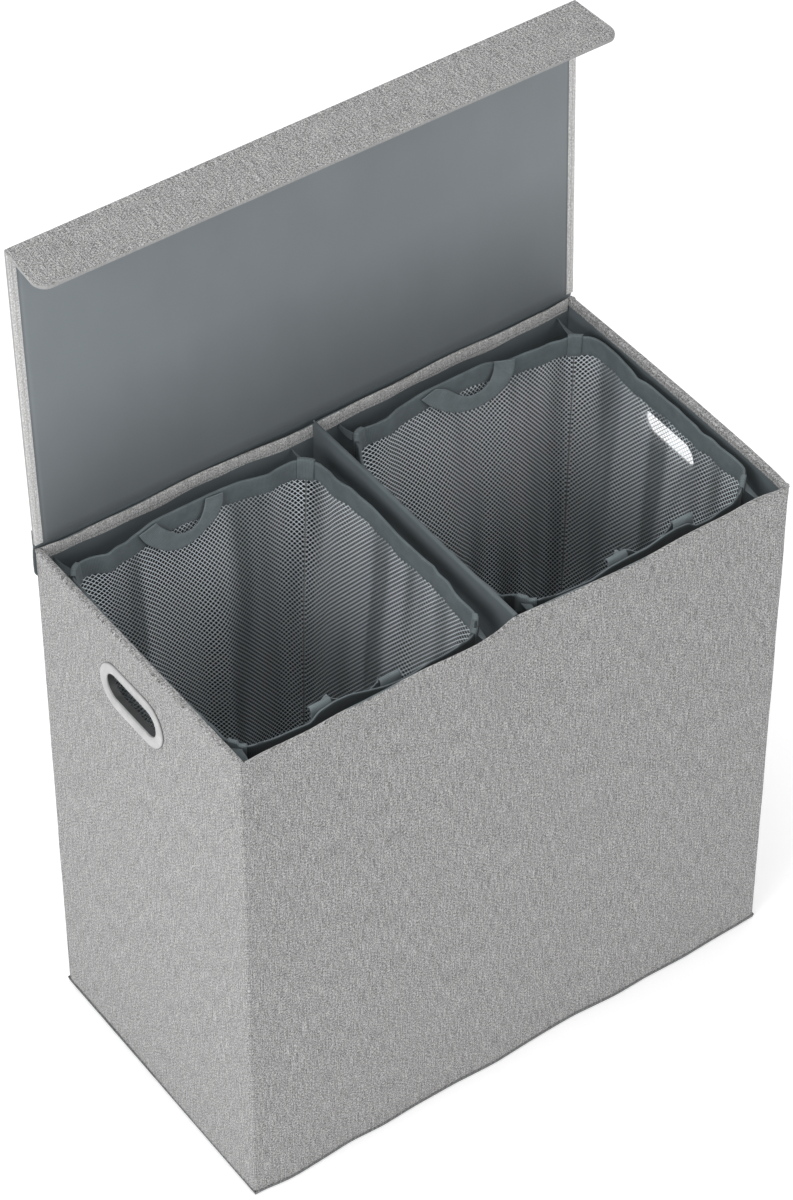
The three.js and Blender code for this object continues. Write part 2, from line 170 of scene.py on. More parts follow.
def path_grid(name, across, rows, lengths, wide, rule):
    """A grid along a path: rule(u, ...) gets each row's own numbers, and lengths say how far along it is."""
    last = len(rows) - 1
    piece = woven_grid(name, across, last, lambda u, v: rule(u, *rows[np.rint(v * last).astype(int)].T), (wide, 1))
    places = np.arange(last + 1)
    remap_cut(piece, lambda spots: np.stack([spots[:, 0], np.interp(spots[:, 1] * last, places, lengths)], 1))
    return piece


def finish_with(piece, kind, **settings):
    modifier = piece.modifiers.new(kind.lower(), kind)
    for key, value in settings.items():
        setattr(modifier, key, value)
    activate(piece)
    bpy.ops.object.modifier_apply(modifier=modifier.name)


def thicken(piece, thickness):
    finish_with(piece, "SOLIDIFY", thickness=thickness, offset=0, use_even_offset=True, use_rim=True)


def round_edges(piece, width, segments=2, angle=50):
    finish_with(piece, "BEVEL", width=width, segments=segments, limit_method="ANGLE",
                angle_limit=math.radians(angle), use_clamp_overlap=True)


def edit(piece, action="SELECT", kind=None):
    """Opens a piece in edit mode with all of it picked, or nothing."""
    activate(piece)
    bpy.ops.object.mode_set(mode="EDIT")
    if kind:
        bpy.ops.mesh.select_mode(type=kind)
    bpy.ops.mesh.select_all(action=action)


def leave_edit():
    bpy.ops.object.mode_set(mode="OBJECT")


def pick(piece, kind, test):
    """In edit mode, picks only the faces or corners that pass the test."""
    edit(piece, "DESELECT", kind)
    leave_edit()
    for part in piece.data.polygons if kind == "FACE" else piece.data.vertices:
        part.select = bool(test(part))
    bpy.ops.object.mode_set(mode="EDIT")


def close_up(piece):
    edit(piece)
    bpy.ops.mesh.remove_doubles(threshold=0.00002)
    bpy.ops.mesh.normals_make_consistent(inside=False)
    leave_edit()


def smooth(piece, angle=40):
    activate(piece)
    bpy.ops.object.shade_smooth_by_angle(angle=math.radians(angle))


def join(pieces, name):
    activate(pieces[0])
    for piece in pieces:
        piece.select_set(True)
    bpy.ops.object.join()
    pieces[0].name = name
    return pieces[0]


def dress(piece, finish, body, slot, *nodes):
    piece.data.materials.clear()
    piece.data.materials.append(finish)
    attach(piece, body)
    if nodes:
        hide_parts(*nodes)


def recolour(piece, finish, test):
    """Gives the faces whose middle and normal pass the test a second finish."""
    piece.data.materials.append(finish)
    for face in piece.data.polygons:
        face.material_index = int(test(face.center, face.normal))


def sew(piece, thickness, finish, body, slot, *nodes, edge=None, angle=40, hole_side=0):
    """Makes a sheet thick, cuts its grip hole, rounds and smooths it, and dresses it."""
    thicken(piece, thickness)
    if hole_side:
        cut_grip_hole(piece, hole_side)
    if edge:
        round_edges(piece, *edge)
    if angle:
        smooth(piece, angle)
    dress(piece, finish, body, slot, *nodes)


def stitch_row(name, places, outward, thread, body="hamper_body", slot="linen", length=0.0030, gap=0.0013,
               width=0.0006):
    """Short thread stitches, one after another, along a line given by its x, y and z."""
    points = np.stack(np.broadcast_arrays(*places), 1)
    run = run_of(points)
    count = int(run[-1] / (length + gap))
    piece = added(name, bpy.ops.mesh.primitive_cube_add, size=1, location=(0, 0, 0))
    bpy.ops.transform.resize(value=(length, width, width * 0.6))
    settle(piece)
    round_edges(piece, width * 0.22, 1, 30)
    one = corners_of(piece)
    faces = [tuple(face.vertices) for face in piece.data.polygons]
    middles = (np.arange(count) + 0.5) * run[-1] / count
    spots, ahead = (
        np.stack([np.interp(middles + step, run, points[:, i]) for i in range(3)], 1) for step in (0, 0.0005)
    )
    forward = (ahead - spots) / np.linalg.norm(ahead - spots, axis=1, keepdims=True)
    up = outward(spots) if callable(outward) else np.broadcast_to(outward, spots.shape)
    up = up - forward * (up * forward).sum(1, keepdims=True)
    up /= np.linalg.norm(up, axis=1, keepdims=True)
    row = spots[:, None] + one @ np.stack([forward, np.cross(up, forward), up], 1)
    mesh = bpy.data.meshes.new(name)
    starts = range(0, count * len(one), len(one))
    mesh.from_pydata(row.reshape(-1, 3).tolist(), [], [tuple(s + i for i in face) for s in starts for face in faces])
    old = piece.data
    piece.data = mesh
    bpy.data.meshes.remove(old)
    smooth(piece, 50)
    dress(piece, thread, body, slot)


def ribbon(name, middles, widths, thickness, finish, body, slot, *nodes, across=4):
    """A flat tape along a line of middles, its width set by a vector at each."""
    wide = float(np.linalg.norm(widths, axis=1).max())
    piece = path_grid(name, across, np.concatenate([middles, widths], 1), run_of(middles), wide,
                      lambda u, x, y, z, *way: [a + b * (u - 0.5) for a, b in zip((x, y, z), way)])
    sew(piece, thickness, finish, body, slot, *nodes, edge=(thickness * 0.3,), angle=50)


# ---- finishes ----

def shades(colour, *marks):
    """Ramp stops of one colour, made darker or lighter by a share at each place."""
    return [(place, tuple(share * c for c in colour)) for place, share in marks]


class Finish:
    """A material and short ways to add and join its nodes."""

    def __init__(self, name):
        self.material = bpy.data.materials.new(name)
        self.material.use_nodes = True
        self.tree = self.material.node_tree
        self.tree.nodes.clear()
        self.shader = self.node("ShaderNodeBsdfPrincipled")
        self.node("ShaderNodeOutputMaterial", Surface=self.shader.outputs[0])

    def put(self, socket, value):
        if isinstance(value, bpy.types.NodeSocket):
            self.tree.links.new(value, socket)
        else:
            socket.default_value = value

    def fill(self, node, inputs):
        for name, value in inputs.items():
            self.put(node.inputs[name.replace("_", " ")], value)

    def node(self, kind, **inputs):
        """A new node, each input set to a number or joined to an output."""
        node = self.tree.nodes.new(kind)
        self.fill(node, inputs)
        return node

    def cut(self, across, along):
        """Places on the flat cloth, in metres, times a count across and along."""
        source = self.node("ShaderNodeUVMap")
        source.uv_map = "cut"
        return self.node("ShaderNodeMapping", Vector=source.outputs[0], Scale=(across, along, 1)).outputs[0]

    def place(self, x, y, z):
        source = self.node("ShaderNodeTexCoord").outputs["Object"]
        return self.node("ShaderNodeMapping", Vector=source, Scale=(x, y, z)).outputs[0]

    def noise(self, vector, detail=1.0, rough=0.5):
        node = self.node("ShaderNodeTexNoise", Vector=vector, Scale=1.0, Detail=detail, Roughness=rough)
        return node.outputs["Fac"]

    def math(self, operation, *values):
        node = self.node("ShaderNodeMath")
        node.operation = operation
        for socket, value in zip(node.inputs, values):
            self.put(socket, value)
        return node.outputs[0]

    def total(self, *parts, start=0.0):
        """A start and the sum of outputs, each times its weight."""
        for output, weight in parts:
            start = self.math("MULTIPLY_ADD", output, weight, start)
        return start

    def spread(self, value, low, high, to_low=0.0, to_high=1.0):
        node = self.node("ShaderNodeMapRange", Value=value, From_Min=low, From_Max=high, To_Min=to_low, To_Max=to_high)
        return node.outputs[0]

    def apart(self, vector):
        return self.node("ShaderNodeSeparateXYZ", Vector=vector).outputs

    def look(self, value, stops, rough, bump=None, **settings):
        """Colour and roughness by a value, a bump of (height, distance, strength), and plain settings."""
        ramp = self.node("ShaderNodeValToRGB", Fac=value)
        band = ramp.color_ramp
        while len(band.elements) < len(stops):
            band.elements.new(0.5)
        for element, (place, colour) in zip(band.elements, stops):
            element.position = place
            element.color = (*colour, 1)
        settings.update(Base_Color=ramp.outputs[0], Roughness=self.spread(value, *rough))
        if bump:
            height, distance, strength = bump
            node = self.node("ShaderNodeBump", Strength=strength, Distance=distance, Height=height)
            settings["Normal"] = node.outputs[0]
        self.fill(self.shader, settings)
        return self.material


def linen_finish(name, level, contrast=1.0, fine=1.0):
    """Grey melange linen: light and dark slubs in both yarns over a fine weave."""
    f = Finish(name)
    upright = f.noise(f.cut(1100 * fine, 430 * fine))
    streak = f.noise(f.cut(820 * fine, 45 * fine))
    level_yarn = f.noise(f.cut(400 * fine, 1100 * fine))
    speck = f.noise(f.cut(1350 * fine, 1200 * fine))
    cloud = f.noise(f.cut(30, 20), 2)
    mixed = f.total((upright, 0.31), (level_yarn, 0.26), (speck, 0.28), (streak, 0.15), (cloud, 0.015), start=-0.0075)
    marks = ((0.40, 0.070), (0.455, 0.165), (0.50, 0.265), (0.545, 0.400), (0.60, 0.600))
    middle = 0.285
    marks = [(place, (middle + (value - middle) * contrast) * level) for place, value in marks]
    return f.look(mixed, shades((1.0, 0.995, 0.99), *marks), (0.3, 0.7, 0.95, 0.80), (mixed, 0.0007, 0.6),
                  Sheen_Weight=0.12, Sheen_Roughness=0.6, Specular_IOR_Level=0.25)


def slate_finish(name, colour, shade, deepest, uneven=1.0, width=None):
    """Smooth slate lining, close woven. Painted shade darkens it by height, or, of a given width, along it, and painted
    shadow darkens its edges.
    """
    f = Finish(name)
    cloud = f.noise(f.cut(7, 5), 3, 0.6)
    crease = f.noise(f.cut(26, 11), 2)
    grain = f.noise(f.cut(1500, 1500))
    # Painted shade: darker below a height, or towards one end of the flat map.
    near, far, drop = shade
    along = f.apart(f.cut(1, 1))[1] if width else f.apart(f.place(1, 1, 1))[2]
    value = f.total((cloud, 0.45 * uneven), (crease, 0.25 * uneven), (grain, 0.30),
                    (f.spread(along, near, far, drop, 0.0), -1), start=0.35 * (1 - uneven))
    # Painted shadow: a dark line along both side edges.
    if width:
        across = f.math("ABSOLUTE", f.math("SUBTRACT", f.apart(f.cut(1, 1))[0], width / 2))
        edge = f.spread(across, width / 2 - 0.0030, width / 2 - 0.0006, 0.0, 0.30)
        value = f.math("SUBTRACT", value, edge)
    stops = shades(colour, (0.08, deepest), (0.32, 0.80), (0.50, 1), (0.68, 1.20))
    return f.look(value, stops, (0.3, 0.7, 0.66, 0.52), (f.total((grain, 0.5), (crease, 1)), 0.00012, 0.6),
                  Sheen_Weight=0.10, Sheen_Roughness=0.5, Specular_IOR_Level=0.4)


def webbing_finish(name, colour):
    """Woven tape: fine cross ribs and lighter selvedges."""
    f = Finish(name)
    across, along, _ = f.apart(f.cut(1, 1))
    ribs, cords = (
        f.math("SINE", f.math("MULTIPLY", way, 2 * math.pi / pitch))
        for way, pitch in ((along, 0.0011), (across, 0.0013))
    )
    worn = f.noise(f.cut(60, 60), 3, 0.6)
    fibre = f.noise(f.cut(2200, 500))
    value = f.total((ribs, 0.12), (cords, 0.12), (worn, 0.6), (fibre, 0.4))
    return f.look(value, shades(colour, (0.25, 0.70), (0.50, 1), (0.78, 1.35)), (0.2, 0.8, 0.78, 0.62),
                  (value, 0.00025, 0.7), Sheen_Weight=0.15, Sheen_Roughness=0.5, Specular_IOR_Level=0.35)


def net_finish(name):
    """Polyester thread: paler where two threads cross, with painted shade in soft upright bands as of shaded folds, and
    a faint painted glow.
    """
    f = Finish(name)
    near = [
        f.math("ABSOLUTE", f.math("SUBTRACT", f.math("FRACT", part), 0.5))
        for part in list(f.apart(f.cut(1 / net_pitch, 1 / net_pitch)))[:2]
    ]
    crossing = f.spread(f.math("ADD", *near), 0.62, 0.98)
    # Painted shade: soft upright bands, set by place, darken the thread as folds turned from the light would be.
    folds = f.spread(f.noise(f.place(26, 26, 2.0)), 0.34, 0.58)
    fibre = f.noise(f.cut(1800, 1800))
    value = f.total((crossing, 0.15), (folds, 0.70), (fibre, 0.15))
    stops = [
        (0.08, (0.36, 0.40, 0.42)), (0.35, (0.60, 0.66, 0.70)), (0.60, (0.82, 0.89, 0.94)), (0.95, (0.87, 0.95, 0.99)),
    ]
    # Painted glow: a faint emission makes the threads brighter than the light on them.
    return f.look(value, stops, (0.1, 0.8, 0.62, 0.42), (fibre, 0.0001, 0.4),
                  Specular_IOR_Level=0.4, Emission_Color=(1, 1, 1, 1), Emission_Strength=0.015)


def plastic_finish(name, level):
    """Moulded grey plastic with a faint grain and rubbed edges."""
    f = Finish(name)
    grain = f.noise(f.place(1600, 1600, 1600), 2)
    rub = f.noise(f.place(90, 90, 90), 3, 0.6)
    return f.look(rub, shades((level,) * 3, (0.30, 0.40), (0.55, 0.45), (0.75, 0.51)), (0.3, 0.7, 0.42, 0.30),
                  (grain, 0.00006, 0.4), Specular_IOR_Level=0.5)


def board_finish(name):
    """Pressed grey board: pulp flecks over brown grey."""
    f = Finish(name)
    pulp = f.noise(f.place(260, 260, 260), 3, 0.6)
    fleck = f.noise(f.place(1300, 1300, 1300))
    value = f.total((pulp, 0.6), (fleck, 0.4))
    stops = [(0.35, (0.13, 0.125, 0.12)), (0.55, (0.19, 0.185, 0.175)), (0.70, (0.25, 0.24, 0.23))]
    return f.look(value, stops, (0.3, 0.7, 0.95, 0.85), (value, 0.0002, 0.5))


def thread_finish(name, colour):
    f = Finish(name)
    ply = f.noise(f.place(2500, 2500, 2500))
    return f.look(ply, shades(colour, (0.35, 0.75), (0.65, 1)), (0.3, 0.7, 0.75, 0.6))


def floor_finish(name):
    f = Finish(name)
    mottle = f.noise(f.place(3, 3, 3), 2)
    return f.look(mottle, shades((1, 1, 1), (0.3, 0.91), (0.7, 0.93)), (0.3, 0.7, 0.95, 0.9),
                  Specular_IOR_Level=0.1, Emission_Color=(1, 1, 1, 1), Emission_Strength=0.26)


linen = linen_finish("melange_linen", 0.965)
lid_linen = linen_finish("lid_linen", 0.98, 1.15, 1.25)
linen_dark = linen_finish("base_linen", 0.62)
linen_pale = linen_finish("border_linen", 2.0, 0.45)
linen_hem = linen_finish("hem_linen", 1.32, 0.7)
# Plain low-contrast linen for sheet edges, made lighter as a painted highlight along them.
linen_edge_painted_highlight = linen_finish("edge_linen_painted_highlight", 1.10, 0.15)
# Lid lining: painted shade darkens it towards the hinge, and painted shadow lines its side edges.
lid_slate_painted_shade = slate_finish("lid_lining_painted_shade", (0.198, 0.222, 0.236), (0.0, 0.17, 0.31), 0.52, 0.35, 0.6070)
# Wall lining: painted shade darkens it to near black from a little below the bags' rims down, the base covers too.
wall_slate_painted_shade = slate_finish("wall_lining_painted_shade", (0.125, 0.151, 0.162), (0.535, 0.592, 0.42), 0.12, 0.5)
# Divider cover: painted shade darkens it from a little below the bags' rims down.
cover_slate_painted_shade = slate_finish("divider_cover_painted_shade", (0.098, 0.118, 0.127), (0.52, 0.575, 0.42), 0.15)
tab_tape = webbing_finish("tab_tape", (0.120, 0.146, 0.155))
tape = webbing_finish("rim_tape", (0.108, 0.132, 0.141))
# Painted shade: a dark copy of the rim tape for the bindings' front faces, which lie in the front wall's shade.
front_tape_painted_shade = webbing_finish("rim_tape_painted_shade_front", (0.036, 0.045, 0.049))
handle_tape = webbing_finish("handle_webbing", (0.140, 0.168, 0.178))
netting_painted_shade_glow = net_finish("net_thread_painted_shade_glow")
# Seam at the net's corners, coloured dark grey as painted shade of the corner folds.
seam_tape_and_painted_shade = thread_finish("net_seam_tape", (0.20, 0.21, 0.21))
plastic = plastic_finish("grip_plastic", 0.92)
# Dark plastic of the grip sleeve, also used for a painted shadow round the flange.
dark_plastic_and_painted_shadow = plastic_finish("grip_sleeve_plastic_and_painted_shadow", 0.11)
greyboard = board_finish("grey_board")
pale_thread = thread_finish("pale_thread", (0.50, 0.50, 0.49))
slate_thread = thread_finish("slate_thread", (0.16, 0.19, 0.20))

# ---- how the soft walls hang: place across, and how far in, in millimetres ----

front_rim = [
    (-311, 0), (-278, 1.5), (-232, 0.3), (-207, 2.2), (-174, 3), (-147, 3), (-106, 2.2), (-88, 1), (-57, 0),
    (-46, 0.2), (-26, 2.2), (-4, 8.8), (17, 8.2), (52, 7.5), (75, 5), (100, 3), (150, 2.4), (201, 3), (241, 3.2),
    (262, 4.5), (280, 4.5), (297, 1.5), (311, 0),
]
front_foot = [
    (-311, 0), (-270, -3), (-230, -1.2), (-200, 0.2), (-160, -2.6), (-120, -0.6), (-70, 0.3), (-20, -2.2), (30, -0.8),
    (80, 0.3), (130, -2), (170, -0.6), (220, -2.8), (270, -1), (311, 0),
]
back_rim = [
    (-311, 0), (-250, 1.2), (-190, 0.5), (-118, 0), (-80, 1.5), (-36, 5.5), (-17, 4.8), (0, 3.4), (12, 2.6), (47, 3),
    (88, 3.5), (140, 1.2), (200, 0.6), (250, 1.2), (311, 0),
]
right_bow = [
    (-170, 0.6), (-150, 2.6), (-107, 3.4), (-34, 3), (60, 2), (120, 1), (170, 0.2),
]


def corner_fade(x):
    return 1 - eased(np.abs(x), 0.285, 0.309)


def front_sway(x, z):
    """How far the front hangs in from the flat."""
    top = along_line(x, front_rim) * eased(z, 0.30, 0.60)
    foot = along_line(x, front_foot) * (1 - eased(z, 0.0, 0.16))
    billow = 0.0011 * np.sin(13 * x + 0.6) * np.sin(8.5 * z + 0.4) + 0.0007 * np.sin(31 * x - 6 * z)
    return (top + foot + billow * (1 - eased(z, 0.48, 0.555))) * corner_fade(x)


def back_sway(x, z):
    top = along_line(x, back_rim) * eased(z, 0.36, 0.60)
    billow = 0.0012 * np.sin(11 * x - 0.8) * np.sin(9 * z) + 0.0006 * np.sin(27 * x + 5 * z)
    foot = (0.0010 * np.sin(23 * x + 1) - 0.0008) * (1 - eased(z, 0.0, 0.14))
    return (top + billow * (1 - eased(z, 0.48, 0.56)) + foot) * corner_fade(x)


def end_sway(side, x, z):
    return front_sway(x, z) if side < 0 else back_sway(x, z)


def divider_pull(y, z, start, end):
    """How far the walls draw in the two ends of the divider."""
    return front_sway(0 * z, z) * eased(-y, start, end) - back_sway(0 * z, z) * eased(y, start, end)


def side_sway(y, z):
    """The boarded sides only ripple, inward."""
    ripple = 0.0004 * np.sin(19 * y + 7 * z) + 0.0003 * np.sin(41 * z + 3)
    near_back = eased(y, 0.06, 0.165) * (0.0011 * np.exp(-((z - 0.045) / 0.030) ** 2))
    belly = 0.0010 * eased(z, 0.35, 0.60) * np.cos(math.pi * y / 0.36)
    return (ripple + near_back) * (1 - eased(z, 0.59, 0.606)) - belly


def side_bow(side, y, z):
    """The right side bellies out a little towards its rim."""
    return 0 * y if side < 0 else along_line(y, right_bow, 0.010) * eased(z, 0.20, 0.56)


# ---- walls, base and divider ----

def end_wall(side, name):
    """Soft cloth of the front or back, folded over the rim into its hem."""
    over = turn_points((end_hem_middle - fold_radius, rim - skin_middle - fold_radius), fold_radius, math.pi, 0)
    points, lengths = path_through([(skin_middle, wall_foot), *over, (end_hem_middle, rim - hem_drop)])

    def rule(u, depth, z):
        x = (2 * u - 1) * end_reach
        tuck = 0.00016 * eased(np.abs(x), 0.3085, 0.3105)
        fade = corner_fade(x)
        dip = 0.0008 * (1 + np.sin(24 * x + 0.9 * side + 0.4)) + 0.0005 * (1 + np.sin(61 * x + side))
        puff = (0.0011 * np.sin(33 * x + 1.3) + 0.0007 * np.sin(97 * x)) * np.clip((rim - z) / hem_drop, 0, 1)
        z = z - dip * fade * eased(z, 0.565, 0.605) - puff * fade * (depth > 0.0024)
        x = np.where(depth > 0.0009, x * fold_reach / end_reach, x)
        return x, side * (half_depth - depth - tuck - end_sway(side, x, z)), z

    piece = path_grid(f"{name}_linen_wall", 124, points, lengths, 2 * end_reach, rule)
    sew(piece, linen_thick, linen, "hamper_body", "linen", f"{name}_wall_cloth")
    recolour(piece, linen_hem, lambda middle, normal: middle.z > rim - hem_drop - 0.003 and normal.y * side < -0.3)


def end_lining(side, name):
    def rule(u, v):
        x = (u - 0.5) * end_lining_size[0]
        z = wall_foot + v * end_lining_size[1]
        return x, side * (half_depth - end_lining_middle - end_sway(side, x, z)), z

    piece = woven_grid(f"{name}_lining_sheet", 110, 84, rule, end_lining_size)
    sew(piece, lining_thick, wall_slate_painted_shade, "hamper_body", "slate", f"{name}_wall_lining")


def rim_notch(side, name):
    """The narrow slate end of the divider, sewn up through the hem."""
    wide, tall, turned_in = 0.0016, 0.018, 0.86
    y_in = half_depth - 0.0036 - float(end_sway(side, np.zeros(1), np.array([rim - 0.004]))[0])

    def rule(u, v):
        z = rim + 0.0001 - 0.0150 * (1 - v) + 0.00025 * np.sin(v * 9)
        y = side * (y_in + np.clip(v - turned_in, 0, None) / (1 - turned_in) * 0.0034)
        return (u - 0.5) * wide, y, np.minimum(z, rim + 0.0002)

    piece = woven_grid(f"{name}_divider_end", 2, 22, rule, (wide, tall))
    sew(piece, 0.0005, cover_slate_painted_shade, "hamper_body", "slate")


def side_wall(side, name):
    """Linen over the boarded side, turned round both corners and folded over the rim."""
    low = rim - skin_middle - fold_radius
    over = [
        *turn_points((skin_middle + fold_radius, low), fold_radius, math.pi, math.pi / 2, 3),
        *turn_points((side_hem_middle - fold_radius, low), fold_radius, math.pi / 2, 0, 3),
    ]
    points, lengths = path_through([(skin_middle, wall_foot), *over, (side_hem_middle, rim - side_hem_drop)])
    bend = corner_round - skin_middle + 0.0005
    straight = half_depth - skin_middle - bend
    turned = straight + bend * math.pi / 2

    def rule(u, depth, z):
        t = (2 * u - 1) * turned
        past = np.clip(np.abs(t) - straight, 0, None) / bend
        y = np.sign(t) * (np.minimum(np.abs(t), straight) + bend * np.sin(past))
        x = half_width - depth - side_sway(y, z) - bend * (1 - np.cos(past))
        hem = depth > 0.0009
        y_hem = np.clip(t, -inner_reach, inner_reach) * np.where(depth > 0.0055, 1, (half_depth - 0.0004) / inner_reach)
        y = np.where(hem, y_hem, y)
        x = np.where(hem, half_width - depth, x)
        return side * (x + side_bow(side, y, z)), y, z

    piece = path_grid(f"{name}_linen_side", 88, points, lengths, 2 * turned, rule)
    sew(piece, linen_thick, linen, "hamper_body", "linen", f"{name}_wall_cloth", hole_side=side)


def side_lining(side, name):
    def rule(u, v):
        y = (2 * u - 1) * inner_reach
        z = wall_foot + v * lining_rise
        loose = 0.0005 * np.sin(24 * y + 1) * np.sin(9 * z) * (1 - eased(z, 0.50, 0.52))
        return side * (half_width - side_lining_middle - np.abs(loose) + side_bow(side, y, z)), y, z

    piece = woven_grid(f"{name}_side_lining", 60, 84, rule, (2 * inner_reach, lining_rise))
    sew(piece, lining_thick, wall_slate_painted_shade, "hamper_body", "slate", f"{name}_wall_lining", hole_side=side)


def side_board(side, name):
    """Stiffening board of a side wall, with the grip's hole through it."""
    wide, high = 0.3348, 0.6017

    def rule(u, v):
        y = (u - 0.5) * wide
        z = board_foot + v * high
        return side * (half_width - board_thick + side_bow(side, y, z)), y, z

    piece = woven_grid(f"{name}_side_board", 24, 40, rule, (wide, high))
    sew(piece, board_thick, greyboard, "hamper_body", "board", f"{name}_wall_board",
        edge=(0.0003, 1, 60), angle=None, hole_side=side)


def divider_stiffener():
    """Board inside the divider, cut back at both ends where the walls pull in."""
    wide, high = 0.3308, 0.6007

    def rule(u, v):
        y, z = (u - 0.5) * wide, board_foot + v * high
        return 0 * z, y + divider_pull(y, z, 0.05, wide / 2), z

    piece = woven_grid("divider_stiffener", 40, 60, rule, (wide, high))
    sew(piece, board_thick, greyboard, "hamper_body", "board", "divider_board", edge=(0.0004, 1), angle=None)


def divider_sleeve():
    """Slate sleeve over the divider board, rounded over its top."""
    radius = 0.0022
    over = turn_points((0, rim - 0.0004 - radius), radius, math.pi, 0, 8)
    points, lengths = path_through([(-radius, wall_foot), *over, (radius, wall_foot)])

    def rule(u, x, z):
        y = (2 * u - 1) * np.where(z > rim - 0.0145, 0.1663, inner_reach)
        puff = 0.0005 * np.sin(38 * y + 9 * z) * np.sign(x) * (1 - eased(z, 0.56, 0.60))
        bend = 0.0004 * np.sin(30 * y) * eased(z, 0.5, 0.6)
        return x + puff + bend, y + divider_pull(y, z, 0.10, inner_reach), z

    piece = path_grid("divider_sleeve", 70, points, lengths, 2 * inner_reach, rule)
    sew(piece, lining_thick, cover_slate_painted_shade, "hamper_body", "slate", "divider_cover")


def base_tray():
    """Base cloth with its edge turned up into a narrow dark seam."""
    reach_x, reach_y = 0.3116, 0.1696

    def rule(u, v):
        x = (2 * u - 1) * reach_x
        y = (2 * v - 1) * reach_y
        shift = np.where(y < 0, front_sway(x, 0 * x), -back_sway(x, 0 * x)) * eased(np.abs(y), 0.10, reach_y)
        return x, y + shift, 0.0005

    piece = woven_grid("base_sheet", 104, 58, rule, (2 * reach_x, 2 * reach_y))
    edit(piece, "DESELECT", "EDGE")
    bpy.ops.mesh.select_non_manifold()
    bpy.ops.mesh.extrude_region_move(TRANSFORM_OT_translate={"value": (0, 0, 0.0040)})
    bpy.ops.transform.resize(value=(1.0030, 1.0056, 1))
    leave_edit()
    thicken(piece, lining_thick)
    put_corners(piece, np.maximum(corners_of(piece), (-1, -1, 0)))
    smooth(piece, 50)
    dress(piece, linen_dark, "hamper_body", "linen", "base_cloth")


def base_cover(side, name):
    def rule(u, v):
        x = 0.0031 + u * base_cover_size[0]
        y = (v - 0.5) * base_cover_size[1]
        return side * x, y, 0.0050 + 0.0003 * np.sin(x * 70) * np.sin(y * 60)

    piece = woven_grid(f"{name}_base_lining", 40, 44, rule, base_cover_size)
    close_up(piece)
    sew(piece, lining_thick, wall_slate_painted_shade, "hamper_body", "slate", f"{name}_base_cover")


def base_stitches():
    """Dark thread through the turned-up edge of the base."""
    out_x, out_y, height, width = 0.3128, 0.17095, 0.0029, 0.0008
    for side, name in ends:
        x = np.linspace(-0.306, 0.306, 170)
        y = side * (out_y - end_sway(side, x, np.full_like(x, 0.001)))
        stitch_row(f"{name}_base_stitches", (x, y, height), (0, side, 0), slate_thread, width=width)
    for side, name in sides:
        y = np.linspace(-0.165, 0.165, 60)
        stitch_row(f"{name}_base_stitches", (side * out_x, y, height), (side, 0, 0), slate_thread, width=width)


def hem_stitches():
    """Thread a little above the lower edge of each hem, on the inside."""
    for side, name in ends:
        x, z = np.linspace(-0.302, 0.302, 160), rim - hem_drop + 0.0026
        y = side * (half_depth - 0.00345 - end_sway(side, x, z))
        stitch_row(f"{name}_hem_stitches", (x, y, z), (0, -side, 0), slate_thread)
    for side, name in sides:
        y, z = np.linspace(-0.163, 0.163, 60), rim - side_hem_drop + 0.0022
        x = side * (half_width - 0.00675 + side_bow(side, y, z))
        stitch_row(f"{name}_hem_stitches", (x, y, z), (-side, 0, 0), pale_thread)


# ---- lid ----

def opened(x, along, down):
    """A place on the shut lid, from its distance to the hinge and depth, at the open angle."""
    cos, sin = math.cos(-lid_open), math.sin(-lid_open)
    return x, hinge_y - along * cos + down * sin, hinge_z - along * sin - down * cos


def lip_growth(x, share):
    """The soft edge of the lip runs out past its board, more to the right, and flares at both ends."""
    return (0.0060 + 0.0032 * np.clip(x / half_width * 0.5 + 0.5, 0, 1)) * share, 1 + 0.0125 * share


def lid_sheet(name, depth, thickness, start, side_trim, end_trim, finish, slot, node, edge):
    """A sheet from the hinge to the crease and down the lip, at a depth under the outer face."""
    sin, cos = math.sin(lip_lean), math.cos(lip_lean)
    length = lip_length - end_trim
    marks = np.array([
        (start, depth), (lid_reach - depth * (1 + sin) / cos, depth),
        (lid_reach - length * sin - depth * cos, length * cos - depth * sin),
    ])
    lip_rows = np.array([0.12, 0.26, 0.40, 0.54, 0.66, 0.76, 0.82, 0.87, 0.915, 0.95, 0.975, 0.99, 1.0])
    points = np.concatenate([
        marks[0] + (marks[1] - marks[0]) * np.linspace(0, 1, 30)[:, None],
        marks[1] + (marks[2] - marks[1]) * lip_rows[:, None],
    ])
    lengths = run_of(points)
    radius = lip_radius - end_trim
    reach = half_width - side_trim
    start_in = reach - 3 * lip_radius

    def rule(u, along, down, to_tip):
        short = np.where(to_tip < radius, radius - np.sqrt(np.clip(radius ** 2 - (radius - to_tip) ** 2, 0, None)), 0)
        x = (2 * u - 1) * reach
        x = np.sign(x) * (np.abs(x) - short * np.clip((np.abs(x) - start_in) / (reach - start_in), 0, 1))
        grown, flare = lip_growth(x, np.clip((lip_length - to_tip) / lip_length, 0, 1))
        x = x * flare
        along = along - grown * sin
        bow = 0.0007 * np.sin(9 * x + 0.5) * np.sin(math.pi * np.clip(along / lid_reach, 0, 1))
        return opened(x, along, down + grown * cos + bow * (to_tip > lip_length))

    rows = np.column_stack([points, lengths[-1] - lengths])
    piece = path_grid(name, 96, rows, lengths, 2 * reach, rule)
    sew(piece, thickness, finish, "lid", slot, node, edge=edge, angle=50)
    return piece, (2 * reach, float(lengths[-1]))


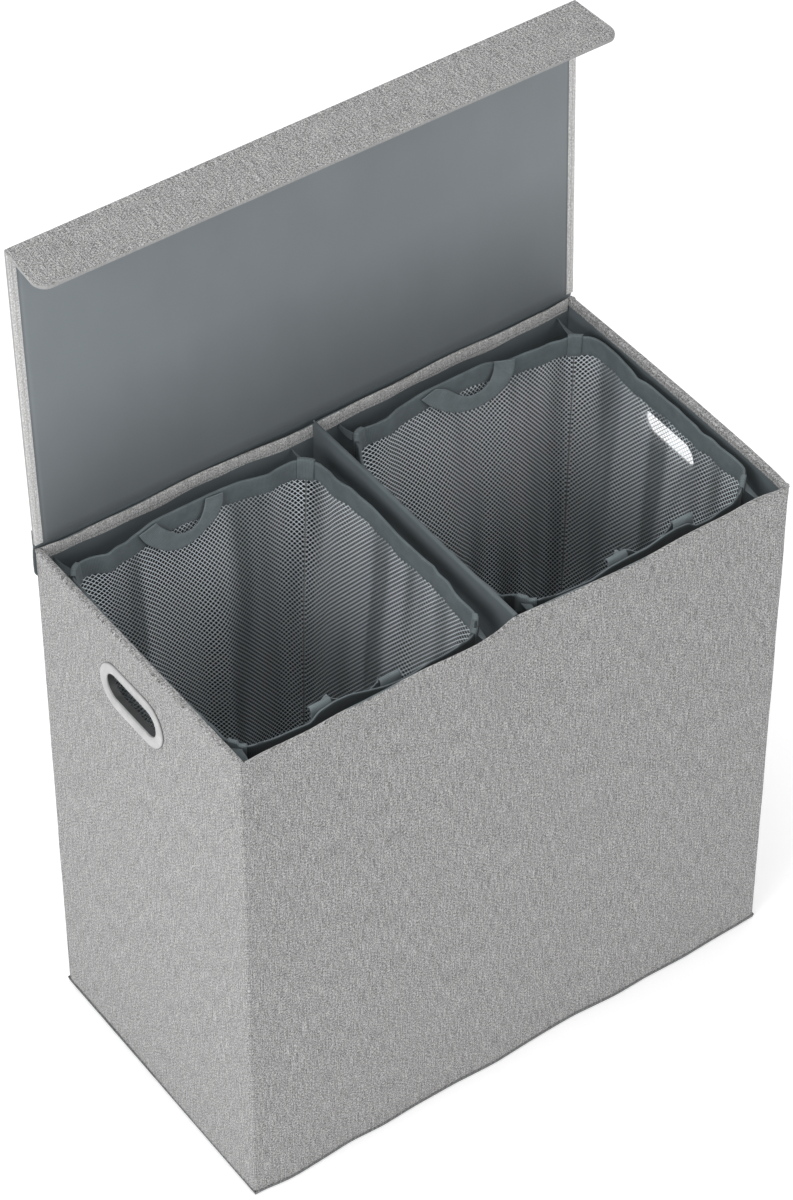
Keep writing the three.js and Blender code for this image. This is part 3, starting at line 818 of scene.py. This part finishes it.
def lid():
    """Linen cover with a pale border inside, its slate lining, and the thread round both."""
    hinge_edge, crease, pale_from, edge_share, stitch_in, lip_stitch_in = 0.6185, 0.957, 0.0115, 0.35, 0.0042, 0.0080
    cover, flat = lid_sheet("lid_linen", lid_thickness / 2, lid_thickness - 0.0002, lid_start, 0, 0,
                            lid_linen, "linen", "lid_cloth", (0.0013, 3))
    for finish in (linen_pale, wall_slate_painted_shade, linen_edge_painted_highlight):
        cover.data.materials.append(finish)
    layer = cover.data.uv_layers["cut"].data
    for face in cover.data.polygons:
        # The faces round the edge of a thick sheet have next to no area in its flat map.
        spots = [layer[loop].uv for loop in face.loop_indices]
        flat_area = abs(sum(a.x * b.y - b.x * a.y for a, b in zip(spots, spots[1:] + spots[:1]))) / 2
        out, height = abs(face.center.x), face.center.z
        # Near the hinge the cover takes the wall lining cloth: the lining runs up to the hinge, and its darker colour
        # is painted shade along the hinge.
        if height < hinge_edge and out < half_width - lid_border:
            face.material_index = 2
        elif height < crease and face.normal.y < -0.3 and out > half_width - pale_from:
            face.material_index = 1
        # The edge faces take the low-contrast linen, lighter as a painted highlight.
        elif flat_area < edge_share * face.area:
            face.material_index = 3
    inner, flat = lid_sheet("lid_slate_sheet", lid_inner_depth, 0.0006, lid_start - 0.0006, 0.0085, lid_border,
                            lid_slate_painted_shade, "slate", "lid_lining", (0.0002, 1))
    for side, name in sides:
        along = np.linspace(0.012, lid_reach - 0.012, 90)
        places = opened(side * (half_width - stitch_in), along, lid_inner_depth)
        stitch_row(f"lid_{name}_stitches", places, (0, -1, 0), pale_thread, "lid", width=0.0005)
    x = np.linspace(-0.298, 0.298, 140)
    down = lip_length - lip_stitch_in + lip_growth(x, 0.86)[0]
    places = opened(x, lid_reach - down * math.sin(lip_lean) + 0.00008, down * math.cos(lip_lean))
    stitch_row("lip_stitches", places, (0, 0, 1), pale_thread, "lid", width=0.0005)


def hinge_cloth():
    """Linen strip that joins the lid to the back wall, sewn down below the rim."""
    foot, reach, stitched_at = 0.1712, 0.3124, 0.5765
    heights = np.concatenate([
        np.linspace(0.5730, 0.6105, 14), np.linspace(0.6118, 0.6168, 9), np.linspace(0.6195, 0.6320, 4),
    ])

    def ripple(x):
        return 0.0007 * np.sin(17 * x + 2)

    def stand(x, z):
        bulge = np.sin(math.pi * np.clip((z - 0.570) / 0.043, 0, 1))
        return 0.0016 * bulge * (0.55 + 0.45 * eased(np.abs(x), 0.24, 0.31))

    def rule(u, v):
        z = np.interp(v, np.linspace(0, 1, len(heights)), heights)
        x = (2 * u - 1) * reach
        lean = np.clip(z - hinge_z, 0, None) * math.tan(lid_open - math.pi / 2)
        y = foot + stand(x, z) + ripple(x) * eased(0.612 - z, 0, 0.01) + np.where(z > hinge_z, 0.0007 + lean, 0.0004)
        return x * (1 - 0.010 * eased(0.578 - z, 0, 0.006) * (np.abs(x) > 0.308)), y, z

    piece = woven_grid("hinge_strip", 90, len(heights) - 1, rule, hinge_size)
    thicken(piece, tape_thick)
    smooth(piece)
    piece.data.materials.clear()
    piece.data.materials.append(linen)
    # The strip's inner faces take the darker wall lining cloth as painted shade along the hinge.
    recolour(piece, wall_slate_painted_shade, lambda middle, normal: normal.y < -0.2 and abs(middle.x) < 0.309)
    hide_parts("hinge_flap")
    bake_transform(piece)
    x, z = np.linspace(-0.305, 0.305, 150), stitched_at
    y = foot + stand(x, z) + ripple(x) + 0.0008
    stitch_row("hinge_stitches", (x, y, z), (0, 1, 0), pale_thread)


# ---- grips ----

# Tubes of a grip: near and far end from the middle, half length, radius, wall, and how the edges are rounded.
grip_ring_tubes = [
    (0.3122, 0.3149, 0.0520, 0.0278, 0.0098, (0.0013, 4)),
    (0.3126, 0.3142, 0.0421, 0.0161, 0.0005, None),
    (0.3126, 0.3145, 0.0436, 0.0190, 0.0024, (0.0008,)),
]
grip_sleeve_tubes = [
    (0.3058, 0.3125, 0.0421, 0.0161, 0.0005, None),
    (0.3054, 0.3064, 0.0450, 0.0190, 0.0030, (0.0003,)),
    # A thin dark plate just proud of the flange's edge: a painted shadow outline.
    (0.3126, 0.3131, 0.0525, 0.0283, 0.0080, None),
]


def oval_plug(side, near, far, half_length, radius, corners):
    piece = added("oval", bpy.ops.mesh.primitive_cylinder_add, vertices=corners, radius=radius, depth=far - near,
                  location=(side * (near + far) / 2, grip_y, grip_z), rotation=(0, math.pi / 2, 0))
    for way in (-1, 1):
        pick(piece, "VERT", lambda corner: (corner.co.y - grip_y) * way > 0.00001)
        bpy.ops.transform.translate(value=(0, way * (half_length - radius), 0))
        leave_edit()
    return piece


def cut_grip_hole(piece, side):
    plug = oval_plug(side, half_width - 0.02, half_width + 0.02, *grip_hole, 64)
    finish_with(piece, "BOOLEAN", operation="DIFFERENCE", object=plug, solver="EXACT")
    bpy.data.objects.remove(plug)


def grip(side, name):
    """Moulded oval grip: a rounded flange outside with a short rim, and a dark sleeve through the wall. A thin dark
    plate just larger than the flange draws a painted shadow round its edge.
    """
    belly = float(side_bow(side, np.array([grip_y]), grip_z)[0])
    for tubes, label, finish, node in (
        (grip_ring_tubes, "grip", plastic, "grip_ring"),
        (grip_sleeve_tubes, "grip_sleeve", dark_plastic_and_painted_shadow, "grip_backing"),
    ):
        parts = []
        for near, far, half_length, radius, wall, edge in tubes:
            tube = oval_plug(side, near + belly, far + belly, half_length, radius, 72)
            pick(tube, "FACE", lambda face: abs(face.normal.x) > 0.9)
            bpy.ops.mesh.inset(thickness=wall, use_individual=True)
            bpy.ops.mesh.bridge_edge_loops()
            leave_edit()
            close_up(tube)
            if edge:
                round_edges(tube, *edge)
            parts.append(tube)
        piece = join(parts, f"{name}_{label}")
        smooth(piece, 50)
        dress(piece, finish, "hamper_body", "plastic", f"{name}_{node}")


# ---- bags ----

straight_x = 2 * (bag_half_x - bag_radius)
straight_y = 2 * (bag_half_y - bag_radius)
quarter = bag_radius * math.pi / 2
around_lengths = [straight_y, quarter, straight_x, quarter] * 2
around_total = sum(around_lengths)
around_marks = np.concatenate([[0], np.cumsum(around_lengths)]) / around_total
side_x = [1, 1, 1, -1, -1, -1, -1, 1, 1]
side_y = [-1, 1, 1, 1, 1, -1, -1, -1, -1]
facing = [0, 0, 1, 1, 2, 2, 3, 3, 4]
corner_middles = [(around_marks[k + 1] + around_marks[k + 2]) / 2 for k in (0, 2, 4, 6)]
corner_starts = [corner_middles[3] - 1, *corner_middles]
bag_sides = ("right", "back", "left", "front")
# The middle that each corner has in corner_middles, and its name.
bag_corners = ((1, "back_left"), (0, "back_right"), (2, "front_left"), (3, "front_right"))
bag_shift = {"left": -bag_middle, "right": bag_middle}

# How the rim of each bag hangs on its right, back, left and front side: place along the side, how far it stands out
# and how high, in millimetres.
rim_shape = {
    "left": [[
        (-129, 1.9, 0), (-114, 0, 1.5), (-101, 0.9, 1.5), (-86, 4.5, 1.5), (-70, 3.5, 1.5), (-59, 6, 1.5),
        (-48, 4.5, 1.5), (-14, 3.5, 1.5), (0, 3.5, 1.5), (18, 4.5, 1.5), (35, 5.5, 1.5), (48, 6, 1.5), (66, 4.5, 1.5),
        (82, 4.5, 1.5), (94, 0.9, 1.5), (103, 0, 1.5), (115, 1.9, 0.5), (124, 0.9, 0),
    ], [
        (-118, 0, 0), (-100, -6, 0), (-87, -2.5, 0), (-76, -2.5, 0), (-64, 0.5, 1), (-58, 1, 1.5), (-43, 2.4, 5),
        (-30, 2.4, 5.5), (26, 2.4, 5.5), (43, 2.4, 5), (64, 2, 3.5), (84, 0.3, 0), (97, -2.5, 0), (109, -0.5, 0),
    ], [
        (-120, 1, -1), (-60, 3, -2), (60, 3, -2), (120, 1, -1),
    ], [
        (-122, 3, -5), (-104, 4, -8), (-81, 4, -9.5), (-62, 4.5, -11), (-52, 3, -4), (-33, 2.5, -1.5),
        (-15, 2.5, -2.5), (5, 3.5, -8), (25, 4, -13), (45, 4.5, -15), (60, 4.5, -14), (79, 4.5, -10.5),
        (92, 4.5, -11), (108, 4.5, -10), (118, 4.5, -8),
    ]],
    "right": [[
        (-113, 4.2, 0), (-103, 4.2, 0), (-85, 2.8, 0), (-71, 3.8, 0), (-58, 0.8, 0), (-46, 2.8, 0), (-29, 2.8, 0),
        (-14, 3.8, 0), (3, 2.8, 0), (27, 2.8, 0), (37, 1.8, 0), (47, -1.2, 0), (60, 1.8, 0), (74, 2.8, 0),
        (87, 4.2, 0), (99, 4.2, 0),
    ], [
        (-102, -3.5, 0), (-86, 1, 1.5), (-72, 2, 2.5), (-58, 2.4, 4.5), (-48, 2.4, 5.5), (19, 2.4, 5.5), (28, 2.4, 5),
        (37, 1.5, 2), (45, 0.3, 0), (54, -2.7, 0), (76, -3.7, 0), (89, -5.7, 0), (100, -6, 0),
    ], [
        (-133, 1, -2), (-116, 8.5, -13), (-60, 9.5, -15), (60, 9.5, -15), (114, 8.5, -13), (130, 2, -3),
    ], [
        (-125, 3, -5), (-110, 4, -8), (-68, 4.5, -11), (-45, 4, -7), (-20, 4, -6), (0, 4, -6.5), (25, 3, -3),
        (40, 2.5, -2), (56, 3, -3), (62, 4.5, -9), (83, 4.5, -10), (96, 4, -7), (109, 3.5, -6.5), (125, 2, -2),
    ]],
}
# How tightly the straps pull each corner, as its radius in metres: right back, left back, left front, right front.
rim_corners = {"left": [0.024, 0.020, 0.020, 0.018], "right": [0.044, 0.016, 0.015, 0.036]}


def side_share(u):
    """Which side of the bag a place is on, and how far along it from corner to corner."""
    starts = np.array(corner_starts)
    stops = np.array([*corner_middles, corner_middles[0] + 1])
    which = np.searchsorted(corner_middles, u)
    return which % 4, (u - starts[which]) / (stops[which] - starts[which])


def rim_hang(name, which, share):
    """How far the rim stands out from the flat, and how high, in metres."""
    along_y = (2 * share - 1) * bag_half_y
    along_x = (2 * share - 1) * bag_half_x
    place = np.select([which == 0, which == 1, which == 2], [along_y, -along_x, -along_y], along_x)
    out = np.zeros_like(place)
    high = np.zeros_like(place)
    for index, marks in enumerate(rim_shape[name]):
        marks = np.array(marks)
        out = np.where(which == index, along_line(place, marks[:, :2], 0.005), out)
        high = np.where(which == index, along_line(place, marks[:, ::2], 0.007), high)
    return out * eased(np.minimum(share, 1 - share), 0.0, 0.07), high


def corner_reach(turn, radius):
    """Distance from the arc's middle to a corner of a tighter radius, at an angle from its first side."""
    inner = bag_radius - radius
    cos, sin = np.maximum(np.cos(turn), 1e-6), np.maximum(np.sin(turn), 1e-6)
    on_first = bag_radius * sin / cos < inner
    on_second = bag_radius * cos / sin < inner
    cross = inner * (cos - sin)
    round_part = inner * (cos + sin) + np.sqrt(np.clip(radius ** 2 - cross ** 2, 0, None))
    return np.where(on_first, bag_radius / cos, np.where(on_second, bag_radius / sin, round_part))


def bag_place(name, u, down, inset):
    """A place on the bag: round it by u, a depth under its rim and set in from its face."""
    sx = np.interp(u, around_marks, side_x)
    sy = np.interp(u, around_marks, side_y)
    angle = np.interp(u, around_marks, facing) * math.pi / 2
    reach_x = bag_half_x - bag_radius - bag_taper_x * down
    reach_y = bag_half_y - bag_radius - bag_taper_y * down
    at_rim = 1 - eased(down, 0.02, 0.19)
    which, share = side_share(u)
    turn = np.mod(angle, math.pi / 2)
    tight = np.array(rim_corners[name])[np.searchsorted(around_marks, u, side="left").clip(1, 8) // 2 - 1]
    tight = bag_radius + (tight - bag_radius) * at_rim
    on_arc = (turn > 1e-6) & (turn < math.pi / 2 - 1e-6)
    reach = np.where(on_arc, corner_reach(turn, np.maximum(tight, 0.002)), bag_radius)
    between = np.sin(math.pi * share)
    slack = eased(down, 0.03, 0.22) * (1 - 0.6 * eased(down, 0.45, 0.585))
    phase = 1.7 if name == "right" else 0.0
    folds = 0.0045 + 0.0058 * np.sin(2 * math.pi * 2.4 * share + 2.2 * which + phase + 2.2 * down)
    folds = folds + 0.0020 * np.sin(2 * math.pi * 5.3 * share + 3 * down + which)
    out, high = rim_hang(name, which, share)
    outward = out * at_rim - np.maximum(folds, 0) * slack * (0.35 + 0.65 * between) - 0.0030 * between * slack
    radius = reach - inset + outward
    x = sx * reach_x + radius * np.cos(angle) + bag_shift[name]
    return x, sy * reach_y + radius * np.sin(angle), bag_top - down + high * at_rim


def lattice(name, width, height):
    """A flat net: threads on the slant both ways, cut to a rectangle, with open holes."""
    apart = math.sin(net_slant - net_cross_slant)
    along = np.array([math.cos(net_slant), math.sin(net_slant)]) * net_wide_pitch / apart
    cross = np.array([math.cos(net_cross_slant), math.sin(net_cross_slant)]) * net_pitch / apart
    corners = np.array([[width, height], [width, -height]]) / 2 @ np.linalg.inv(np.array([cross, along]))
    count = 2 * math.ceil(np.abs(corners).max()) + 2
    piece = added(name, bpy.ops.mesh.primitive_grid_add,
                  x_subdivisions=count, y_subdivisions=count, size=count, location=(0, 0, 0))
    flat = corners_of(piece)
    flat[:, :2] = flat[:, :1] * cross + flat[:, 1:2] * along
    put_corners(piece, flat)
    edit(piece)
    for way in ((1, 0, 0), (-1, 0, 0), (0, 1, 0), (0, -1, 0)):
        bpy.ops.mesh.select_all(action="SELECT")
        spot = (way[0] * width / 2, way[1] * height / 2, 0)
        bpy.ops.mesh.bisect(plane_co=spot, plane_no=way, clear_outer=True, threshold=0.000001)
    bpy.ops.mesh.select_all(action="SELECT")
    bpy.ops.mesh.remove_doubles(threshold=0.0003)
    bpy.ops.mesh.select_mode(type="FACE")
    bpy.ops.mesh.select_all(action="SELECT")
    bpy.ops.mesh.inset(thickness=thread_width / 2, use_individual=True, use_even_offset=True)
    bpy.ops.mesh.delete(type="FACE")
    leave_edit()
    remap_cut(piece, lambda spots: spots * np.float32(count * net_pitch))
    return piece


def bag_net(name, panel):
    """Four net panels, one for each side, meeting at a seam in each corner."""
    for index, label in enumerate(bag_sides):
        piece = panel.copy()
        piece.data = panel.data.copy()
        piece.name = f"{name}_net_{label}"
        bpy.context.collection.objects.link(piece)
        flat = corners_of(piece)[:, :2]
        mirrored = label in ("back", "left")
        share, rise = (flat / (2 * np.abs(flat).max(axis=0)) * (-1 if mirrored else 1, 1) + 0.5).T
        start, stop = corner_starts[index:index + 2]
        u = np.mod(start + share * (stop - start), 1)
        put_corners(piece, np.stack(bag_place(name, u, net_foot + rise * (net_top - net_foot), net_inset), 1))
        if mirrored:
            edit(piece)
            bpy.ops.mesh.flip_normals()
            leave_edit()
        smooth(piece, 60)
        dress(piece, netting_painted_shade_glow, f"{name}_bag", "net", f"{name}_bag_net")
        downs = np.linspace(0.022, bag_drop - 0.006, 60)
        left, right = (
            np.stack(bag_place(name, np.full_like(downs, stop + shift / around_total), downs, 0.0024), 1)
            for shift in (-0.0007, 0.0007)
        )
        # The corner seam's dark grey is painted shade of the fold there.
        ribbon(f"{name}_net_seam_{index + 1}", (left + right) / 2, right - left, 0.0005, seam_tape_and_painted_shade,
               f"{name}_bag", "net", across=2)


def bag_bottom(name):
    """Net bottom, sewn in with a narrow tape round its edge."""
    half_x = bag_half_x - bag_taper_x * bag_drop - 0.0042
    half_y = bag_half_y - bag_taper_y * bag_drop - 0.0042
    piece = lattice(f"{name}_net_bottom", 2 * half_x, 2 * half_y)
    radius = bag_radius - 0.004
    pick(piece, "FACE", lambda face: math.hypot(
        max(abs(face.center.x) - half_x + radius, 0), max(abs(face.center.y) - half_y + radius, 0)) > radius + 0.0005)
    bpy.ops.mesh.delete(type="FACE")
    leave_edit()
    x, y, _ = corners_of(piece).T
    x = x + bag_shift[name]
    put_corners(piece, np.stack([x, y, bag_top - bag_drop + 0.0006 + 0.0004 * np.sin(x * 40) * np.sin(y * 35)], 1))
    dress(piece, netting_painted_shade_glow, f"{name}_bag", "net", f"{name}_bag_bottom")
    seam = woven_grid(f"{name}_bottom_tape", 160, 4, lambda u, v: bag_place(
        name, 1 - u, bag_drop - 0.0098 + bottom_tape * (1 - v), 0.0008), (around_total, bottom_tape))
    close_up(seam)
    sew(seam, tape_thick, tape, f"{name}_bag", "tape")


def bag_binding(name):
    """Slate tape folded over the top of the net."""
    over = [(0.0016 - 0.0012 * math.sin(a), net_inset - 0.0012 * math.cos(a)) for a in np.linspace(0, math.pi, 7)]
    points, lengths = path_through([(tape_drop, 0.0004), *over, (tape_drop, 0.0028)])
    phase = 1.1 if name == "right" else 0.0

    def rule(u, down, inset):
        which, share = side_share(1 - u)
        frill = 0.0007 * (1 + np.sin(2 * math.pi * 7 * share + phase + which)) * eased(down, 0.006, 0.024)
        hang = 0.0009 * np.sin(2 * math.pi * 5 * share + 2 * phase) * eased(down, 0.010, 0.024)
        x, y, z = bag_place(name, 1 - u, down, inset + frill * (inset > net_inset))
        return x, y, z - hang

    piece = path_grid(f"{name}_rim_binding", 340, points, lengths, around_total, rule)
    close_up(piece)
    sew(piece, lining_thick, tape, f"{name}_bag", "tape", f"{name}_bag_binding")
    # Painted shade: the front-facing faces of the binding at the front take the dark copy of its tape.
    recolour(piece, front_tape_painted_shade, lambda middle, normal: middle.y < -0.115 and normal.y < -0.3)
    u = np.linspace(0.0, 1.0, 420)
    for place, inset, way in (("inside", 0.0046, -1), ("outside", -0.00005, 1)):
        stitch_row(f"{name}_rim_{place}_stitches", bag_place(name, u, np.full_like(u, tape_drop - 0.0032), inset),
                   lambda spots: (spots - (bag_shift[name], 0, 0)) * (way, way, 0),
                   slate_thread, f"{name}_bag", "tape", length=0.0034, gap=0.0016, width=0.0005)


# The edges of each handle as it droops: outer place and depth, inner place and depth, in millimetres.
handle_marks = {
    "left": [
        (-57, 1, -37, -3), (-54, 9, -34, 2), (-48, 17, -30, 7), (-40, 24, -24, 12), (-30, 31, -17, 18),
        (-16, 34.5, -8, 21), (-2, 33, 1, 19.5), (10, 28, 8, 16), (20, 23.5, 13, 10), (30, 17, 16.5, 4),
        (36.5, 8, 18, -1), (38, -2, 18.5, -4),
    ],
    "right": [
        (-54, 1, -37, -4), (-50, 6, -32, -2), (-45, 12, -26, 1), (-37, 19, -20, 6), (-26, 27, -13, 13),
        (-12, 33, -4, 19), (3, 35.5, 5, 21), (17, 35.5, 14, 20.5), (30, 32, 22, 18), (41, 28, 28, 12.5),
        (48, 20, 32, 5), (53, 9, 33, 0), (54, 0, 33, -4),
    ],
}
# How the hidden front handle is stretched and shifted, in metres, to stand on the feet that show.
front_handle_fit = {"left": (1.01, 0.0040), "right": (0.876, 0.0094)}


def bag_handle(name, end, label):
    """Webbing loop sewn inside the rim, its middle drooping into the bag."""
    marks = np.array(handle_marks[name], float)
    count = np.linspace(0, len(marks) - 1, 49)
    fine = np.stack([np.interp(count, np.arange(len(marks)), marks[:, i]) for i in range(4)], 1)
    kernel = np.array([1, 2, 3, 4, 3, 2, 1]) / 16
    padded = np.concatenate([2 * fine[:1] - fine[3:0:-1], fine, 2 * fine[-1:] - fine[-2:-5:-1]])
    fine = np.stack([np.convolve(padded[:, i], kernel, mode="valid") for i in range(4)], 1) / 1000
    if end < 0:
        scale, shift = front_handle_fit[name]
        fine[:, ::2] = fine[:, ::2] * scale + shift
    places, stands, highs = np.transpose(rim_shape[name][1 if end > 0 else 3])
    edges = []
    for x, down in ((fine[:, 0], fine[:, 1]), (fine[:, 2], fine[:, 3])):
        stand, high = (np.interp(x * 1000, places, amounts) / 1000 for amounts in (stands, highs))
        level = 0.603 if end > 0 else bag_top + high + 0.001
        lean = np.maximum(down + 0.002, 0) * math.tan(math.radians(15)) + np.where(down > 0, 0, 0.0006)
        edges.append(np.stack([x, end * (bag_half_y + stand - 0.0052 - lean), level - down - 0.0012], 1))
    middles, widths = (edges[0] + edges[1]) / 2, edges[1] - edges[0]
    if end < 0:
        middles, widths = folded_feet(middles, widths)
    ribbon(f"{name}_{label}_webbing", middles + (bag_shift[name], 0, 0), widths, 0.0014, handle_tape,
           f"{name}_bag", "tape", f"{name}_bag_{label}_handle", across=6)


def folded_feet(middles, widths):
    """Leads each end of the loop up over the rim and back down the inside of the tape."""
    feet = []
    for (x, y, z), wide in ((middles[0], widths[0]), (middles[-1], widths[-1])):
        z = z - 0.0035
        y = y - 0.0016
        foot = [(x, y, z - 0.016 + 0.002 * i) for i in range(9)]
        foot += [(x, y + 0.0030 * (1 - math.cos(a)), z + 0.0060 * math.sin(a)) for a in np.linspace(0.3, 2.6, 8)]
        feet.append((np.array(foot), np.tile((np.sign(wide[0]) * 0.0225, 0, 0), (len(foot), 1))))
    (head, head_wide), (tail, tail_wide) = feet
    middles = np.concatenate([head, middles[2:-2] + (0, 0.0044, 0), tail[::-1]])
    return middles, np.concatenate([head_wide, widths[2:-2], tail_wide])


def corner_tab(name, which, label):
    """Tape folded over the rim at a corner, lying close on the binding."""
    over = [(-0.0006 - 0.0009 * math.sin(a), 0.0016 - 0.0022 * math.cos(a)) for a in np.linspace(0, math.pi, 7)]
    points, lengths = path_through([(0.0225, -0.0006), *over, (0.0225, 0.0050)])

    def rule(u, down, inset):
        around = np.mod(corner_middles[which] - (u - 0.5) * tab_width / around_total, 1)
        x, y, z = bag_place(name, around, np.clip(down, 0, None), inset)
        return x, y, z + np.clip(-down, 0, None)

    piece = path_grid(f"{name}_{label}_loop", 8, points, lengths, tab_width, rule)
    sew(piece, tape_thick, tab_tape, f"{name}_bag", "tape", f"{name}_bag_{label}_tab", edge=(0.0002, 1), angle=50)


def corner_strap(name, which, label):
    """Ribbon from the tab to the wall, drawn together under the hem."""
    sx, sy = 1 if "right" in label else -1, 1 if "back" in label else -1
    start = np.ravel(bag_place(name, np.array([corner_middles[which]]), np.array([0.0045]), -0.0018))
    end_x = bag_shift[name] + sx * strap_reach
    pulled = float(end_sway(sy, np.array([end_x]), 0.5887)[0])
    end = np.array([end_x, sy * (inner_reach - pulled), strap_height])
    t = np.linspace(0, 1, 15)[:, None]
    middles = start + (end - start) * t - (0, 0, 0.0018) * np.sin(math.pi * t)
    widths = np.array([-sx, sy, 0]) * math.sqrt(0.5) * (1 - 0.5 * t) + np.array([0, 0, 0.7]) * t
    widths = widths / np.linalg.norm(widths, axis=1, keepdims=True) * (strap_wide + (strap_gathered - strap_wide) * t)
    ribbon(f"{name}_{label}_ribbon", middles, widths, tape_thick, tape, "hamper_body", "tape", f"{name}_{label}_strap")


def bag(name):
    panel = lattice(f"{name}_net_panel", around_total / 4, net_foot - net_top)
    bag_net(name, panel)
    bpy.data.objects.remove(panel)
    bag_bottom(name)
    bag_binding(name)
    bag_handle(name, 1, "back")
    bag_handle(name, -1, "front")
    for which, label in bag_corners:
        corner_tab(name, which, label)
        corner_strap(name, which, label)


# ---- build ----

for side, name in ends:
    end_wall(side, name)
    end_lining(side, name)
    rim_notch(side, name)
for side, name in sides:
    side_wall(side, name)
    side_lining(side, name)
    side_board(side, name)
    base_cover(side, name)
    grip(side, name)
base_tray()
base_stitches()
divider_sleeve()
hem_stitches()
lid()
hinge_cloth()
divider_stiffener()
bag("left")
bag("right")

for node_name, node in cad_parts.items():
    node.data.materials.clear()
    node.data.materials.append(greyboard if "board" in node_name else plastic if "grip" in node_name else linen)

# ---- floor, light and camera ----

floor = added("floor", bpy.ops.mesh.primitive_plane_add, size=14, location=(0, 0, -0.0002))
floor.data.materials.append(floor_finish("pale_floor"))

world = bpy.data.worlds.new("studio")
bpy.context.scene.world = world
world.use_nodes = True
world.node_tree.nodes["Background"].inputs[0].default_value = (1, 1, 1, 1)
world.node_tree.nodes["Background"].inputs[1].default_value = 0.62


def soft_light(name, place, aim, size, power):
    light = bpy.data.lights.new(name, "AREA")
    light.shape = "RECTANGLE"
    light.size, light.size_y = size
    light.energy = power
    lamp = bpy.data.objects.new(name, light)
    bpy.context.collection.objects.link(lamp)
    lamp.location = place
    lamp.rotation_euler = (Vector(aim) - Vector(place)).to_track_quat("-Z", "Y").to_euler()


soft_light("left_window", (-3.2, -0.6, 1.9), (0, 0, 0.4), (2.6, 2.2), 62)
soft_light("front_panel", (0.6, -3.4, 2.4), (0, 0, 0.4), (2.4, 2.0), 26)
soft_light("ceiling", (0, 0.2, 3.6), (0, 0, 0.3), (2.6, 2.6), 34)

# Where the photo was taken from, as solved from its corners.
view_right = Vector((0.8141465907251032, -0.5806593837651041, -0.0000941))
view_down = Vector((-0.4065471815411509, -0.5699069192508188, -0.7140906753144078))
view_ahead = Vector((0.4145898189676607, 0.581412747912849, -0.7000532112438256))
view = bpy.data.cameras.new("photo_view")
view.sensor_fit = "AUTO"
view.sensor_width = 36
view.lens = 130.144
view.clip_start = 0.1
view.clip_end = 60
camera = bpy.data.objects.new("photo_view", view)
bpy.context.collection.objects.link(camera)
turned = Matrix((view_right, -view_down, -view_ahead)).transposed().to_4x4()
camera.matrix_world = Matrix.Translation((-1.7238331, -2.3877523, 3.3894716)) @ turned
bpy.context.scene.camera = camera
bpy.context.scene.view_settings.view_transform = "Standard"
